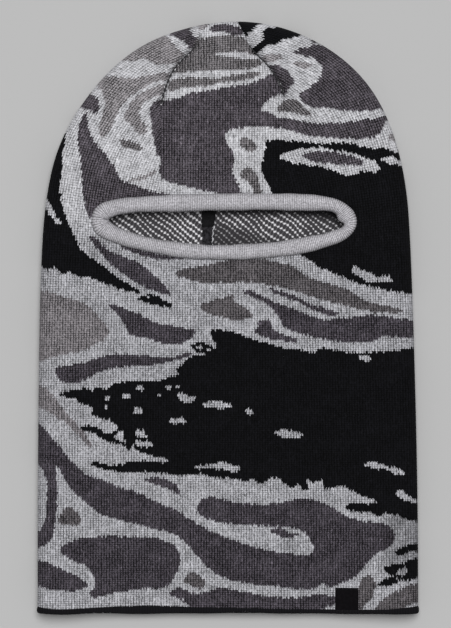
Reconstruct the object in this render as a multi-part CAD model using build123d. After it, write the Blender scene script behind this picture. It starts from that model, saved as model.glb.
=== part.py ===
"""Knitted jacquard balaclava with a narrow eye slot, laid flat on its back.

Units are millimetres. +Z points up out of the surface that it lies on, +Y from the neck hem to the
crown, and +X to the viewer's right as they face the front. The origin is the centre of the bounding
box at the level of the surface. Places along the balaclava are given as heights above the hem, and
`block` and `smooth_line` move them to that origin.
"""
import math
import os

from build123d import *

# Whole balaclava
WIDTH = 245.0                 # across the neck, laid flat
LENGTH = 381.0                # hem to the top of the crown
KNIT = 3.0                    # one layer of double-jacquard knit
AIR = 8.0                     # space between the front and the back layer
FLAT_HEIGHT = 2 * KNIT + AIR  # both layers with the space between them
LEFT_FLAT = 0.1               # what a rounded edge leaves of the face beside it
FOLD_ROUND = FLAT_HEIGHT / 2 - LEFT_FLAT
MIDDLE = FLAT_HEIGHT / 2      # level at which the front and the back meet in the side folds
BEYOND = 20.0                 # how far a cutting solid runs past what it cuts

# Neck hem. A stitch's size is its length across, its width up the garment and its thickness.
HEM_HEIGHT = 3.0
HEM_STITCH = (2.4, 0.8, 0.3)
HEM_STITCH_PITCH = 8.0
HEM_STITCH_REACH = 104.0      # from the middle to the last stitch

# Trim round the eye slot
TRIM_HEIGHT = 5.2
TRIM_BOTTOM = 10.2
TRIM_ROUND = TRIM_HEIGHT / 2 - LEFT_FLAT
TRIM_JOIN_WIDTH = 0.5
TRIM_JOIN_HEIGHT_ABOVE_HEM = 253.6
JOIN_OVERRUN = 2.0            # how far the cut for the join runs past the tube
LINKING_WIDTH = 1.6
LINKING_THICKNESS = 0.5
LINKING_GAP = 0.1
SLOT_CUT_INSET = 2.0

# Back seam, its tape and the label inside
SEAM_X = -12.5
SEAM_WIDTH = 0.8
SEAM_INSET = 0.3
TAPE_X = -13.6
TAPE_WIDTH = 6.4
TAPE_THICKNESS = 0.9
TAPE_START = 4.0
TAPE_END = 345.0
TAPE_STITCH = (0.4, 3.0, 0.25)
TAPE_STITCH_PITCH = 8.0
TAPE_STITCH_INSET = 0.8       # from the tape's edge
TAPE_STITCH_MARGIN = 4.0      # from the tape's ends
TAPE_STITCH_CLEAR = 6.0       # from the label that lies over the tape
CARE_WIDTH = 9.0
CARE_THICKNESS = 0.6
CARE_FREE_END = 249.2
CARE_HINGE = 277.0
CARE_SEWN = 3.4
CARE_CLEARANCE = 0.3
CARE_STITCH = (1.8, 0.5, 0.2)
CARE_STITCH_PITCH = 3.0

# Label at the hem
HEM_LABEL_WIDTH = 15.0
HEM_LABEL_HEIGHT = 15.9
HEM_LABEL_THICKNESS = 0.7
HEM_LABEL_X = 76.5
HEM_LABEL_FOOT = 0.4
HEM_LABEL_STITCH = (1.5, 0.4, 0.2)
HEM_LABEL_STITCH_PITCH = 2.7
HEM_LABEL_STITCH_RISE = 1.2   # from the label's top and foot
HEM_LABEL_STITCH_INSET = 2.0  # from its sides

# Crown darts
DART_WIDTH = 1.0
DART_DEPTH = 0.7

# Outlines, as (x, height above the hem) corners of straight runs that large arcs round off
BODY_OUTLINE = [(122.5, -BEYOND), (122.2, 90), (117.6, 245), (113.6, 284), (104.4, 316), (91.4, 340),
                (72.4, 359), (47.8, 373.2), (19.9, LENGTH), (-9.5, LENGTH), (-41.2, 372.8),
                (-64.2, 360.4), (-85.0, 340.7), (-105.2, 311), (-115.6, 280), (-120.8, 230),
                (-122.5, 90), (-122.5, -BEYOND)]
TRIM_OUTER = [(-88.0, 259.5), (-76.0, 267.2), (-20.0, 270.2), (55.0, 270.2), (72.0, 266.4),
              (82.4, 258.5), (82.8, 246.5), (72.0, 237.2), (35.0, 228.4), (-20.0, 226.8),
              (-58.0, 233.5), (-82.0, 241.5), (-88.0, 247.0)]
TRIM_INNER = [(-78.4, 253.6), (-66.0, 258.0), (-30.0, 258.6), (14.0, 259.8), (60.0, 259.0),
              (72.0, 256.5), (76.5, 249.5), (58.0, 243.5), (27.0, 238.2), (-14.0, 236.4),
              (-50.0, 241.2), (-70.0, 247.5)]
FRONT_LEFT_DART = [(-17.0, 372.0), (-20.5, 364.6), (-34.0, 352), (-40.0, 340), (-43.0, 328)]
FRONT_RIGHT_DART = [(10.2, 373.0), (13.5, 364.5), (28.0, 350.5), (34.0, 340), (36.0, 333)]
BACK_LEFT_DART = [(-16.0, 360), (-31.0, 351), (-42.0, 337), (-46.0, 320)]
BACK_RIGHT_DART = [(-8.5, 360), (7.0, 351), (18.0, 337), (22.0, 320)]
ROUND_SHARE = 0.48            # share of a run that the arc at each of its ends may take


def block(x_range, height_range, z_range):
    """A box from its x range, its range of heights above the hem and its z range."""
    size = [end - start for start, end in (x_range, height_range, z_range)]
    middle = [(start + end) / 2 for start, end in (x_range, height_range, z_range)]
    return Pos(middle[0], middle[1] - LENGTH / 2, middle[2]) * Box(*size)


def smooth_line(points, closed=False):
    """The line through straight runs, each corner rounded by as large an arc as its runs allow."""
    corners = [Vector(x, height - LENGTH / 2) for x, height in points]
    count = len(corners)
    turning = range(count) if closed else range(1, count - 1)
    radii = []
    for index in turning:
        run_in = corners[index] - corners[index - 1]
        run_out = corners[(index + 1) % count] - corners[index]
        half_turn = math.radians(run_in.get_angle(run_out) / 2)
        radii.append(ROUND_SHARE * min(run_in.length, run_out.length) / math.tan(half_turn))
    return FilletPolyline(*corners, radius=radii, close=closed)


def body_outline():
    """The flat outline of the knitted body, run on below the hem so that it can be cut square."""
    dome = smooth_line(BODY_OUTLINE)
    return make_face([dome, Line(dome @ 1, dome @ 0)])


def closed_outline(points):
    """A face inside a smooth closed line."""
    return make_face(smooth_line(points, closed=True))


def rounded_slab(face, bottom, height, radius):
    """The face raised to a slab whose upper and lower edges are rounded, but not along its foot."""
    slab = Pos(0, 0, bottom) * extrude(face, height)
    foot = slab.faces().sort_by(Axis.Y)[0]
    rims = slab.edges().filter_by(Axis.Z, reverse=True)
    return fillet([edge for edge in rims if edge not in foot.edges()], radius)


def body_shell():
    """Both layers of knit, joined in rounded side folds and open at the neck."""
    outline = body_outline()
    outside = rounded_slab(outline, 0, FLAT_HEIGHT, FOLD_ROUND)
    inside_face = offset(outline, -KNIT, kind=Kind.INTERSECTION)
    inside = rounded_slab(inside_face, KNIT, AIR, AIR / 2 - LEFT_FLAT)
    above = block((-WIDTH, WIDTH), (0, LENGTH + BEYOND), (-BEYOND, FLAT_HEIGHT + BEYOND))
    return (outside - inside) & above


def eye_trim_ring():
    """The ribbed tube round the slot, as a ring with rounded shoulders."""
    ring = closed_outline(TRIM_OUTER) - closed_outline(TRIM_INNER)
    slab = Pos(0, 0, TRIM_BOTTOM) * extrude(ring, TRIM_HEIGHT)
    return fillet(slab.edges().filter_by(Axis.Z, reverse=True), TRIM_ROUND)


def trim_join_gap():
    """The narrow gap across the tube at the slot's left tip, where its two ends meet."""
    left = TRIM_OUTER[0][0] - JOIN_OVERRUN
    right = TRIM_INNER[0][0] + JOIN_OVERRUN
    low = TRIM_JOIN_HEIGHT_ABOVE_HEM - TRIM_JOIN_WIDTH / 2
    high = TRIM_JOIN_HEIGHT_ABOVE_HEM + TRIM_JOIN_WIDTH / 2
    return block((left, right), (low, high),
                 (TRIM_BOTTOM - JOIN_OVERRUN, TRIM_BOTTOM + TRIM_HEIGHT + JOIN_OVERRUN))


def linking_ring():
    """The linking seam under the knit, round the outside of the trim."""
    outline = closed_outline(TRIM_OUTER)
    band = offset(outline, LINKING_WIDTH) - offset(outline, LINKING_GAP)
    top = FLAT_HEIGHT - KNIT
    return Pos(0, 0, top - LINKING_THICKNESS) * extrude(band, LINKING_THICKNESS)


def dart(points, bottom):
    """One dart's sewn crease: a narrow bead set into the knit."""
    crease = trace(smooth_line(points), DART_WIDTH)
    return Pos(0, 0, bottom) * extrude(crease, DART_DEPTH)


def stitches(places, size, bottom):
    """Separate short stitches that lie on a surface, centred on the (x, height) places."""
    length, width, thickness = size
    return [
        block((x - length / 2, x + length / 2), (height - width / 2, height + width / 2),
              (bottom, bottom + thickness))
        for x, height in places
    ]


def spaced(start, end, pitch):
    """Evenly spaced places from start to end, about one pitch apart."""
    steps = round((end - start) / pitch)
    return [start + (end - start) * step / steps for step in range(steps + 1)]


def hem_stitching():
    """Stitches that hold the rolled hem, on the inner face of the front and of the back."""
    across = spaced(-HEM_STITCH_REACH, HEM_STITCH_REACH, HEM_STITCH_PITCH)
    clear_of_tape = [x for x in across if abs(x - TAPE_X) > TAPE_WIDTH]
    height = HEM_HEIGHT / 2
    back = stitches([(x, height) for x in clear_of_tape], HEM_STITCH, KNIT)
    front = stitches([(x, height) for x in across], HEM_STITCH, KNIT + AIR - HEM_STITCH[2])
    return Compound(children=back + front)


def tape_stitches():
    """Two rows of stitches along the edges of the back seam's tape."""
    reach = TAPE_WIDTH / 2 - TAPE_STITCH_INSET
    lowest = TAPE_START + TAPE_STITCH_MARGIN
    highest = TAPE_END - TAPE_STITCH_MARGIN
    label_top = CARE_HINGE + CARE_SEWN
    heights = spaced(lowest, CARE_FREE_END - TAPE_STITCH_CLEAR, TAPE_STITCH_PITCH)
    heights += spaced(label_top + TAPE_STITCH_CLEAR, highest, TAPE_STITCH_PITCH)
    places = [(TAPE_X + side * reach, height) for side in (-1, 1) for height in heights]
    return Compound(children=stitches(places, TAPE_STITCH, KNIT + TAPE_THICKNESS))


def care_label_leaf():
    """The free leaf of the label inside the back, which lifts about its sewn top edge."""
    bottom = KNIT + TAPE_THICKNESS + CARE_CLEARANCE
    return block((SEAM_X - CARE_WIDTH / 2, SEAM_X + CARE_WIDTH / 2),
                 (CARE_FREE_END, CARE_HINGE - CARE_CLEARANCE), (bottom, bottom + CARE_THICKNESS))


def care_label_sewn_edge():
    """The top edge of the inner label, sewn down on the tape."""
    bottom = KNIT + TAPE_THICKNESS
    return block((SEAM_X - CARE_WIDTH / 2, SEAM_X + CARE_WIDTH / 2),
                 (CARE_HINGE + CARE_CLEARANCE, CARE_HINGE + CARE_SEWN),
                 (bottom, bottom + CARE_THICKNESS + CARE_CLEARANCE))


def care_label_stitches():
    """Three stitches through the sewn edge of the inner label."""
    top = KNIT + TAPE_THICKNESS + CARE_THICKNESS + CARE_CLEARANCE
    height = CARE_HINGE + CARE_SEWN / 2
    places = [(SEAM_X + step * CARE_STITCH_PITCH, height) for step in (-1, 0, 1)]
    return Compound(children=stitches(places, CARE_STITCH, top))


def hem_label():
    """The woven label that lies on the front over the hem."""
    half = HEM_LABEL_WIDTH / 2
    return block((HEM_LABEL_X - half, HEM_LABEL_X + half),
                 (HEM_LABEL_FOOT, HEM_LABEL_FOOT + HEM_LABEL_HEIGHT),
                 (FLAT_HEIGHT, FLAT_HEIGHT + HEM_LABEL_THICKNESS))


def hem_label_stitches():
    """A row of stitches along the top and the foot of the hem label."""
    reach = HEM_LABEL_WIDTH / 2 - HEM_LABEL_STITCH_INSET
    across = spaced(HEM_LABEL_X - reach, HEM_LABEL_X + reach, HEM_LABEL_STITCH_PITCH)
    rows = (HEM_LABEL_FOOT + HEM_LABEL_STITCH_RISE,
            HEM_LABEL_FOOT + HEM_LABEL_HEIGHT - HEM_LABEL_STITCH_RISE)
    places = [(x, height) for height in rows for x in across]
    return Compound(children=stitches(places, HEM_LABEL_STITCH, FLAT_HEIGHT + HEM_LABEL_THICKNESS))


def build():
    """Makes every piece, keyed by its node's name."""
    shell = body_shell()
    wide = (-WIDTH, WIDTH)
    tall = (HEM_HEIGHT, LENGTH + BEYOND)
    front_half = shell & block(wide, tall, (MIDDLE, FLAT_HEIGHT + BEYOND))
    back_half = shell & block(wide, tall, (-BEYOND, MIDDLE))

    trim_ring = eye_trim_ring()
    slot = offset(closed_outline(TRIM_OUTER), -SLOT_CUT_INSET)
    slot_cut = Pos(0, 0, MIDDLE) * extrude(slot, FLAT_HEIGHT)
    join_gap = trim_join_gap()

    front_bottom = FLAT_HEIGHT - DART_DEPTH
    darts = {
        "front_left_dart_seam": dart(FRONT_LEFT_DART, front_bottom),
        "front_right_dart_seam": dart(FRONT_RIGHT_DART, front_bottom),
        "back_left_dart_seam": dart(BACK_LEFT_DART, 0),
        "back_right_dart_seam": dart(BACK_RIGHT_DART, 0),
    }

    seam_left = SEAM_X - SEAM_WIDTH / 2
    seam_right = SEAM_X + SEAM_WIDTH / 2
    back_levels = (-BEYOND, MIDDLE)
    back_left = back_half & block((-WIDTH, seam_left), tall, back_levels)
    back_right = back_half & block((seam_right, WIDTH), tall, back_levels)
    seam_strip = block((seam_left, seam_right), (HEM_HEIGHT, TAPE_END), (SEAM_INSET, KNIT))

    half_tape = TAPE_WIDTH / 2
    tape = block((TAPE_X - half_tape, TAPE_X + half_tape), (TAPE_START, TAPE_END),
                 (KNIT, KNIT + TAPE_THICKNESS))

    return {
        "front_panel": (front_half - slot_cut - trim_ring
                        - darts["front_left_dart_seam"] - darts["front_right_dart_seam"]),
        "back_left_panel": back_left - darts["back_left_dart_seam"],
        "back_right_panel": back_right - darts["back_right_dart_seam"],
        "hem_band": shell & block(wide, (0, HEM_HEIGHT), (-BEYOND, FLAT_HEIGHT + BEYOND)),
        "hem_stitching": hem_stitching(),
        "eye_trim": trim_ring - join_gap,
        "eye_trim_join_seam": trim_ring & join_gap,
        "eye_trim_linking": linking_ring(),
        "back_seam_thread": seam_strip,
        "back_seam_tape": tape,
        "back_tape_stitches": tape_stitches(),
        "care_label": care_label_leaf(),
        "care_label_sewn_edge": care_label_sewn_edge(),
        "care_label_stitches": care_label_stitches(),
        "hem_label": hem_label(),
        "hem_label_stitches": hem_label_stitches(),
        **darts,
    }


os.makedirs("parts", exist_ok=True)
for node, shape in build().items():
    export_step(shape, f"parts/{node}.step")
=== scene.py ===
"""Looks of the knitted balaclava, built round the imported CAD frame.

The garment lies flat on its back, seen from straight above. Places are worked out in millimetres,
as x, height above the neck hem and z, and `metres` takes them to the frame. The camouflage is
knitted in: every stitch takes the tone of the patch that its middle lies in.
"""

import math

import bpy
import numpy as np
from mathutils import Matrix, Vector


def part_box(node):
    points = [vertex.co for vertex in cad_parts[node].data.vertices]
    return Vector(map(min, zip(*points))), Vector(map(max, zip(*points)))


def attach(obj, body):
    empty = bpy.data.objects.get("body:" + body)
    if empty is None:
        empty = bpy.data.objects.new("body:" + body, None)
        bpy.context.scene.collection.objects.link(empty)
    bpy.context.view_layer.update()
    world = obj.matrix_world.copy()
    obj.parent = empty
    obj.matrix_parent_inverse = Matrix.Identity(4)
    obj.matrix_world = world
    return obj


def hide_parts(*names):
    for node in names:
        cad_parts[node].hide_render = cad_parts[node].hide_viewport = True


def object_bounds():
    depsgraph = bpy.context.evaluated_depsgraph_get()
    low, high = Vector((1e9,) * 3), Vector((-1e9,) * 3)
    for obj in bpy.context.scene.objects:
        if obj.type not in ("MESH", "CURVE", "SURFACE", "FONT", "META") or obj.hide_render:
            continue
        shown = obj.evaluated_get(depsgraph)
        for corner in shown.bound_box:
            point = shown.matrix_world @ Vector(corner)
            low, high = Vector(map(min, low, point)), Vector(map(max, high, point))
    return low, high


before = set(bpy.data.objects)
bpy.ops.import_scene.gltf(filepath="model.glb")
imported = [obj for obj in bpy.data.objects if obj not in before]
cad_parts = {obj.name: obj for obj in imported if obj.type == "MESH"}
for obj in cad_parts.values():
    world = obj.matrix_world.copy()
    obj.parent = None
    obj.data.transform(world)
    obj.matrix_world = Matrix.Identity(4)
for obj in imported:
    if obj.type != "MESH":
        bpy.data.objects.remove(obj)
CAD_LOW, CAD_HIGH = [np.array(corner) * 1000 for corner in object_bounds()]
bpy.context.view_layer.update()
RANDOM = np.random.default_rng(11)


def node_box(node):
    """The lowest and highest corner of a CAD node, in mm."""
    return [np.array(corner) * 1000 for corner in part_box(node)]


# The two layers
HEM_Y = CAD_LOW[1]  # mm from the frame's origin to the neck hem
LENGTH = CAD_HIGH[1] - CAD_LOW[1]
FRONT_TOP = node_box("front_panel")[1][2]
MIDDLE = FRONT_TOP / 2  # level at which front and back meet in the side folds
BACK_INSIDE = node_box("back_seam_tape")[0][2]
KNIT = BACK_INSIDE  # one layer of knit
INNER_RADIUS = MIDDLE - KNIT
SEAM_X = (node_box("back_seam_thread")[0][0] + node_box("back_seam_thread")[1][0]) / 2

# Knit gauge
WALE = 1.73  # width of one column of stitches
COURSE = 1.4  # height of one row of stitches
CHEVRON = 0.6  # rows by which the middle of a stitch hangs below its sides
RIDGE = 0.22  # how far the middle of a column stands up
UNEVEN = 0.07  # mm by which single stitches sit out of place
SAG = 5.0  # how far the front layer sinks on to the back at the hem
SAG_ACROSS = (56.0, 116.0)  # half widths between which it rises to the side folds
SAG_ALONG = (30.0, 205.0)  # heights between which it comes to an end
INSIDE_CELL = 3.0  # mesh size of the plain inner faces
FAN_START = 200.0  # height at which the rows begin to fan out to the crown
FAN_POWER = 1.3  # how slowly they begin to
CROWN_EASE = 40.0  # mm below the crown within which the centre's rows follow it
OUTLINE_POINTS = 3000  # on a finely divided outline
PAST_TOP = 12  # points of a half outline kept past the top of the crown

# Outlines, as corners of straight runs that are rounded off
BODY_OUTLINE = [(122.5, -20), (122.2, 90), (117.6, 245), (113.6, 284), (104.4, 316), (91.4, 340),
                (72.4, 359), (47.8, 373.2), (19.9, 381), (-9.5, 381), (-41.2, 372.8),
                (-64.2, 360.4), (-85, 340.7), (-105.2, 311), (-115.6, 280), (-120.8, 230),
                (-122.5, 90), (-122.5, -20)]
TRIM_OUTER = [(-88, 259.5), (-76, 267.2), (-20, 270.2), (55, 270.2), (72, 266.4), (82.4, 258.5),
              (82.8, 246.5), (72, 237.2), (35, 228.4), (-20, 226.8), (-58, 233.5),
              (-82, 241.5), (-88, 247)]
TRIM_INNER = [(-77.5, 253.2), (-73, 255.8), (-64, 258), (-30, 258.4), (14, 259.6), (60, 258.8),
              (69.5, 258.4), (69, 252.4), (76.5, 249.8), (68, 246.4), (58, 243.5), (27, 238.2),
              (-14, 236.4), (-50, 241.2), (-70, 247.5)]
FRONT_LEFT_DART = [(-43, 328), (-40, 340), (-34, 352), (-20.5, 364.6), (-17, 372), (-14, 379.6)]
FRONT_RIGHT_DART = [(36, 333), (34, 340), (28, 350.5), (13.5, 364.5), (10.2, 373), (6.5, 381)]
BACK_LEFT_DART = [(-16, 360), (-31, 351), (-42, 337), (-46, 320)]
BACK_RIGHT_DART = [(-8.5, 360), (7, 351), (18, 337), (22, 320)]

FLECK_INSET = 0.5  # how far small light flecks stay inside their outlines
SINGLE_REACH = 0.7 * WALE  # how near a single light stitch's place its middle lies

# Yarn tones, as linear colours in the crown and at the neck; the crown's are the same yarns painted
# lighter, a painted light gradient up to the crown
LIGHT, MID, SHADE, DARK, BLACK = range(5)
CROWN_YARN_PAINTED_LIGHTER = np.array([(0.60, 0.60, 0.63), (0.325, 0.308, 0.323), (0.205, 0.193, 0.203),
                       (0.100, 0.089, 0.104), (0.0048, 0.0048, 0.0062)])
NECK_YARN = np.array([(0.455, 0.455, 0.485), (0.25, 0.234, 0.248), (0.126, 0.116, 0.124),
                      (0.071, 0.063, 0.076), (0.0044, 0.0044, 0.0057)])
CROWN_BLEND_HEIGHTS = (225.0, 275.0)  # heights between which the crown's tones take over
STITCH_SPREAD = np.array([0.10, 0.12, 0.14, 0.16, 0.2])  # how unevenly stitches take light
GAP_SHARE = np.array([0.04, 0.05, 0.06, 0.08, 0.0])  # share with another yarn showing
GAP_TONE = np.array([0.66, 0.66, 0.66, 1.5, 1.0])  # how bright those stitches are
# How deep the gaps in a stitch look: the strength of the painted shade in them
CROWN_CONTRAST = np.array([0.5, 1.1, 1.4, 1.45, 0.9])
NECK_CONTRAST = np.array([0.8, 1.05, 1.4, 1.55, 0.9])
STITCH_LIMITS = (0.5, 1.5)  # least and most light that unevenness leaves a stitch
EDGE_JITTER = 0.33  # mm by which a colour's edge wanders from stitch to stitch

# The camouflage as tone and outline, later patches over earlier ones, on a ground of LIGHT
CROWN_PATCHES = [
    (MID, [(-42, 374), (-56, 369), (-74, 356), (-60, 355), (-53, 357), (-49, 354), (-46, 352), (-41, 354),
        (-34, 353), (-26, 360), (-31, 362), (-38, 370)]),
    (DARK, [(-39, 372), (-30, 379), (-24, 380), (-24, 374), (-20, 370), (-21, 364), (-24, 362), (-28, 368),
        (-34, 371)]),
    (MID, [(-19, 381), (-10, 383), (-13, 377), (-17, 375), (-20, 377)]),
    (MID, [(-36, 348), (-43, 348), (-52, 346), (-62, 344), (-72, 345), (-84, 346), (-87, 341), (-81, 337),
        (-79, 328), (-80, 321), (-83, 315), (-82, 306), (-78, 308), (-75, 312), (-71, 322), (-65, 331),
        (-55, 338), (-45, 342), (-37, 344)]),
    (MID, [(-40, 341), (-50, 338), (-59, 333), (-65, 325), (-67, 319), (-62, 314), (-59, 310), (-55, 307),
        (-51, 311), (-53, 314), (-55, 317), (-57, 320), (-57, 324), (-53, 330), (-45, 333), (-40, 335)]),
    (DARK, [(-91, 339), (-86, 332), (-82, 329), (-84, 320), (-88, 323), (-98, 326)]),
    (DARK, [(-94, 319), (-91, 324), (-90, 314), (-88, 306), (-83, 300), (-77, 293), (-71, 284), (-68, 278),
        (-58, 275), (-50, 272), (-41, 270), (-32, 268), (-50, 262), (-80, 258), (-88, 252), (-92, 262),
        (-94, 274), (-94, 286), (-96, 298), (-97, 306), (-96, 313)]),
    (SHADE, [(-71, 305), (-67, 305), (-61, 304), (-54, 300), (-57, 296), (-61, 298), (-68, 300)]),
    (MID, [(-66, 279), (-55, 281), (-46, 286), (-46, 283), (-54, 279), (-60, 278)]),
    (DARK, [(-13, 376), (-9, 379), (4, 379), (9, 376), (10, 373), (7, 371), (-2, 374), (-10, 374)]),
    (SHADE, [(-20, 371), (-17, 369), (-12, 371), (4, 372), (11, 371), (16, 361), (24, 354), (14, 350),
        (0, 349), (-18, 349), (-30, 348), (-38, 347), (-33, 353), (-26, 360), (-22, 365)]),
    (LIGHT, [(-11, 359), (-5, 361), (6, 361), (16, 360), (22, 357), (12, 356), (4, 358), (-4, 358)]),
    (SHADE, [(-39, 340), (-37, 344), (-22, 345), (-10, 344), (4, 346), (20, 349), (21, 346), (10, 343),
        (0, 342), (-8, 341), (-10, 339), (-22, 339), (-30, 338), (-38, 335)]),
    (DARK, [(-42, 330), (-35, 331), (-26, 334), (-16, 336), (-6, 338), (5, 339), (14, 341), (23, 344),
        (29, 348), (35, 338), (35, 334), (28, 332), (23, 328), (20, 324), (27, 322), (32, 319), (41, 318),
        (52, 315), (66, 315), (83, 317), (96, 319), (107, 322), (102, 317), (100, 312), (98, 308),
        (90, 305), (78, 305), (64, 306), (52, 307), (46, 309), (35, 312), (24, 313), (16, 314), (8, 312),
        (0, 311), (-3, 306), (1, 300), (4, 296), (4, 288), (2, 286), (4, 281), (8, 273), (11, 266),
        (-4, 266), (-4, 270), (-12, 271), (-22, 274), (-32, 276), (-42, 279), (-45, 286), (-42, 291),
        (-46, 295), (-48, 303), (-49, 315), (-51, 324), (-47, 330)]),
    (DARK, [(25, 352), (32, 353), (39, 349), (43, 343), (40, 338), (35, 333), (33, 341), (29, 347)]),
    (SHADE, [(8, 306), (12, 307), (15, 304), (20, 300), (16, 297), (12, 298), (7, 301)]),
    (SHADE, [(8, 284), (12, 288), (16, 285), (19, 282), (20, 276), (22, 272), (22, 266), (17, 266),
        (15, 275), (13, 278), (8, 281)]),
    (BLACK, [(4, 383), (16, 383), (23, 380), (15, 376), (12, 370), (10, 373), (8, 378)]),
    (BLACK, [(17, 359), (15, 363), (20, 367), (23, 370), (22, 374), (26, 378), (29, 375), (34, 380),
        (50, 375), (46, 371), (36, 369), (30, 366), (26, 366), (21, 362)]),
    (MID, [(20, 359), (34, 360), (36, 357), (30, 355), (23, 355)]),
    (MID, [(42, 355), (51, 355), (55, 352), (50, 350), (41, 353)]),
    (DARK, [(41, 360), (45, 363), (53, 365), (59, 366), (66, 370), (94, 351), (108, 328), (99, 325),
        (93, 323), (85, 323), (76, 323), (66, 325), (56, 325), (49, 327), (48, 330), (44, 333), (49, 336),
        (54, 339), (59, 344), (61, 349), (59, 354), (54, 358), (46, 359)]),
    (DARK, [(54, 370), (58, 369), (57, 366), (53, 367)]),
    (SHADE, [(31, 324), (36, 331), (43, 331), (48, 326), (56, 320), (48, 320), (40, 323), (34, 322)]),
    (MID, [(102, 306), (105, 310), (113, 309), (113, 303), (105, 304)]),
]
SIDE_PATCHES = [
    (BLACK, [(24, 303), (28, 305), (41, 304), (52, 303), (60, 302), (70, 303), (80, 303), (86, 300),
        (93, 299), (100, 300), (106, 297), (118, 298), (126, 250), (126, 205), (116, 206), (108, 207),
        (98, 209), (88, 211), (80, 213), (74, 217), (66, 219), (60, 222), (54, 227), (45, 231), (50, 236),
        (70, 245), (72, 262), (29, 266), (28, 272), (24, 279), (21, 286), (23, 293), (24, 300)]),
    (LIGHT, [(32, 294), (38, 297), (50, 299), (62, 300), (70, 297), (78, 297), (84, 295), (90, 292),
        (95, 291), (98, 286), (94, 283), (90, 285), (84, 284), (78, 281), (70, 284), (62, 287), (54, 288),
        (46, 289), (38, 291)]),
    (DARK, [(46, 295), (54, 297), (62, 298), (70, 297), (78, 295), (85, 292), (89, 288), (78, 288),
        (66, 289), (56, 290), (51, 292)]),
    (BLACK, [(-104, 312), (-105, 303), (-107, 294), (-107, 284), (-108, 274), (-107, 264), (-104, 255),
        (-101, 248), (-98, 241), (-93, 232), (-86, 228), (-79, 223), (-73, 217), (-64, 212), (-54, 206),
        (-62, 207), (-69, 208), (-75, 211), (-83, 213), (-90, 217), (-96, 215), (-102, 220), (-107, 218),
        (-111, 223), (-116, 220), (-120, 224), (-126, 222), (-126, 262), (-115, 302)]),
    (DARK, [(-91, 243), (-85, 242), (-79, 235), (-72, 231), (-65, 229), (-56, 225), (-50, 220), (-44, 214),
        (-38, 208), (-35, 204), (-44, 206), (-53, 209), (-59, 213), (-67, 218), (-74, 223), (-80, 230),
        (-86, 237)]),
    (DARK, [(-74, 238), (-60, 235), (-45, 231), (-24, 229), (-36, 227), (-48, 228), (-60, 231),
        (-71, 236)]),
    (BLACK, [(-60, 202), (-53, 205), (-46, 205), (-40, 201), (-34, 197), (-42, 197), (-48, 199),
        (-54, 201)]),
    (MID, [(-126, 208), (-114, 207), (-106, 204), (-96, 201), (-88, 197), (-83, 190), (-75, 182),
        (-78, 177), (-85, 173), (-92, 169), (-102, 167), (-110, 166), (-116, 163), (-126, 162)]),
    (DARK, [(-78, 199), (-70, 198), (-61, 194), (-52, 190), (-45, 186), (-34, 185), (-26, 183), (-19, 182),
        (-25, 176), (-32, 173), (-42, 173), (-52, 178), (-63, 178), (-66, 186), (-73, 194)]),
    (DARK, [(-111, 159), (-98, 160), (-88, 163), (-80, 166), (-68, 167), (-56, 166), (-44, 165), (-32, 165),
        (-28, 169), (-22, 167), (-28, 164), (-34, 163), (-46, 160), (-60, 159), (-74, 158), (-84, 155),
        (-90, 151), (-98, 148), (-105, 148), (-111, 153)]),
    (MID, [(-126, 148), (-118, 146), (-112, 140), (-107, 133), (-100, 125), (-95, 119), (-88, 110),
        (-88, 105), (-95, 113), (-102, 121), (-110, 126), (-117, 131), (-126, 134)]),
    (SHADE, [(-34, 219), (-29, 222), (-20, 223), (-12, 224), (-4, 227), (8, 228), (22, 229), (30, 226),
        (40, 224), (47, 220), (54, 215), (63, 213), (72, 210), (80, 207), (88, 201), (97, 199), (106, 197),
        (117, 194), (104, 193), (90, 194), (77, 198), (66, 200), (56, 203), (47, 206), (38, 209), (28, 211),
        (16, 213), (0, 213), (-14, 212), (-24, 214), (-31, 216)]),
    (SHADE, [(-20, 197), (-14, 200), (-6, 203), (4, 206), (3, 201), (11, 197), (17, 192), (12, 189),
        (2, 188), (-6, 191), (-14, 194)]),
    (DARK, [(7, 208), (14, 208), (22, 205), (30, 200), (40, 197), (48, 194), (56, 190), (65, 188),
        (68, 190), (78, 190), (85, 192), (97, 192), (108, 190), (126, 187), (126, 177), (104, 178),
        (99, 179), (93, 175), (84, 174), (70, 175), (58, 177), (46, 180), (36, 184), (33, 190), (28, 197),
        (20, 202), (12, 205)]),
    (DARK, [(25, 210), (33, 208), (44, 204), (54, 199), (64, 196), (74, 193), (66, 191), (58, 194),
        (50, 198), (40, 202), (30, 206)]),
    (DARK, [(19, 188), (27, 190), (28, 184), (33, 180), (45, 176), (43, 174), (30, 176), (16, 180),
        (19, 184)]),
]
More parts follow.
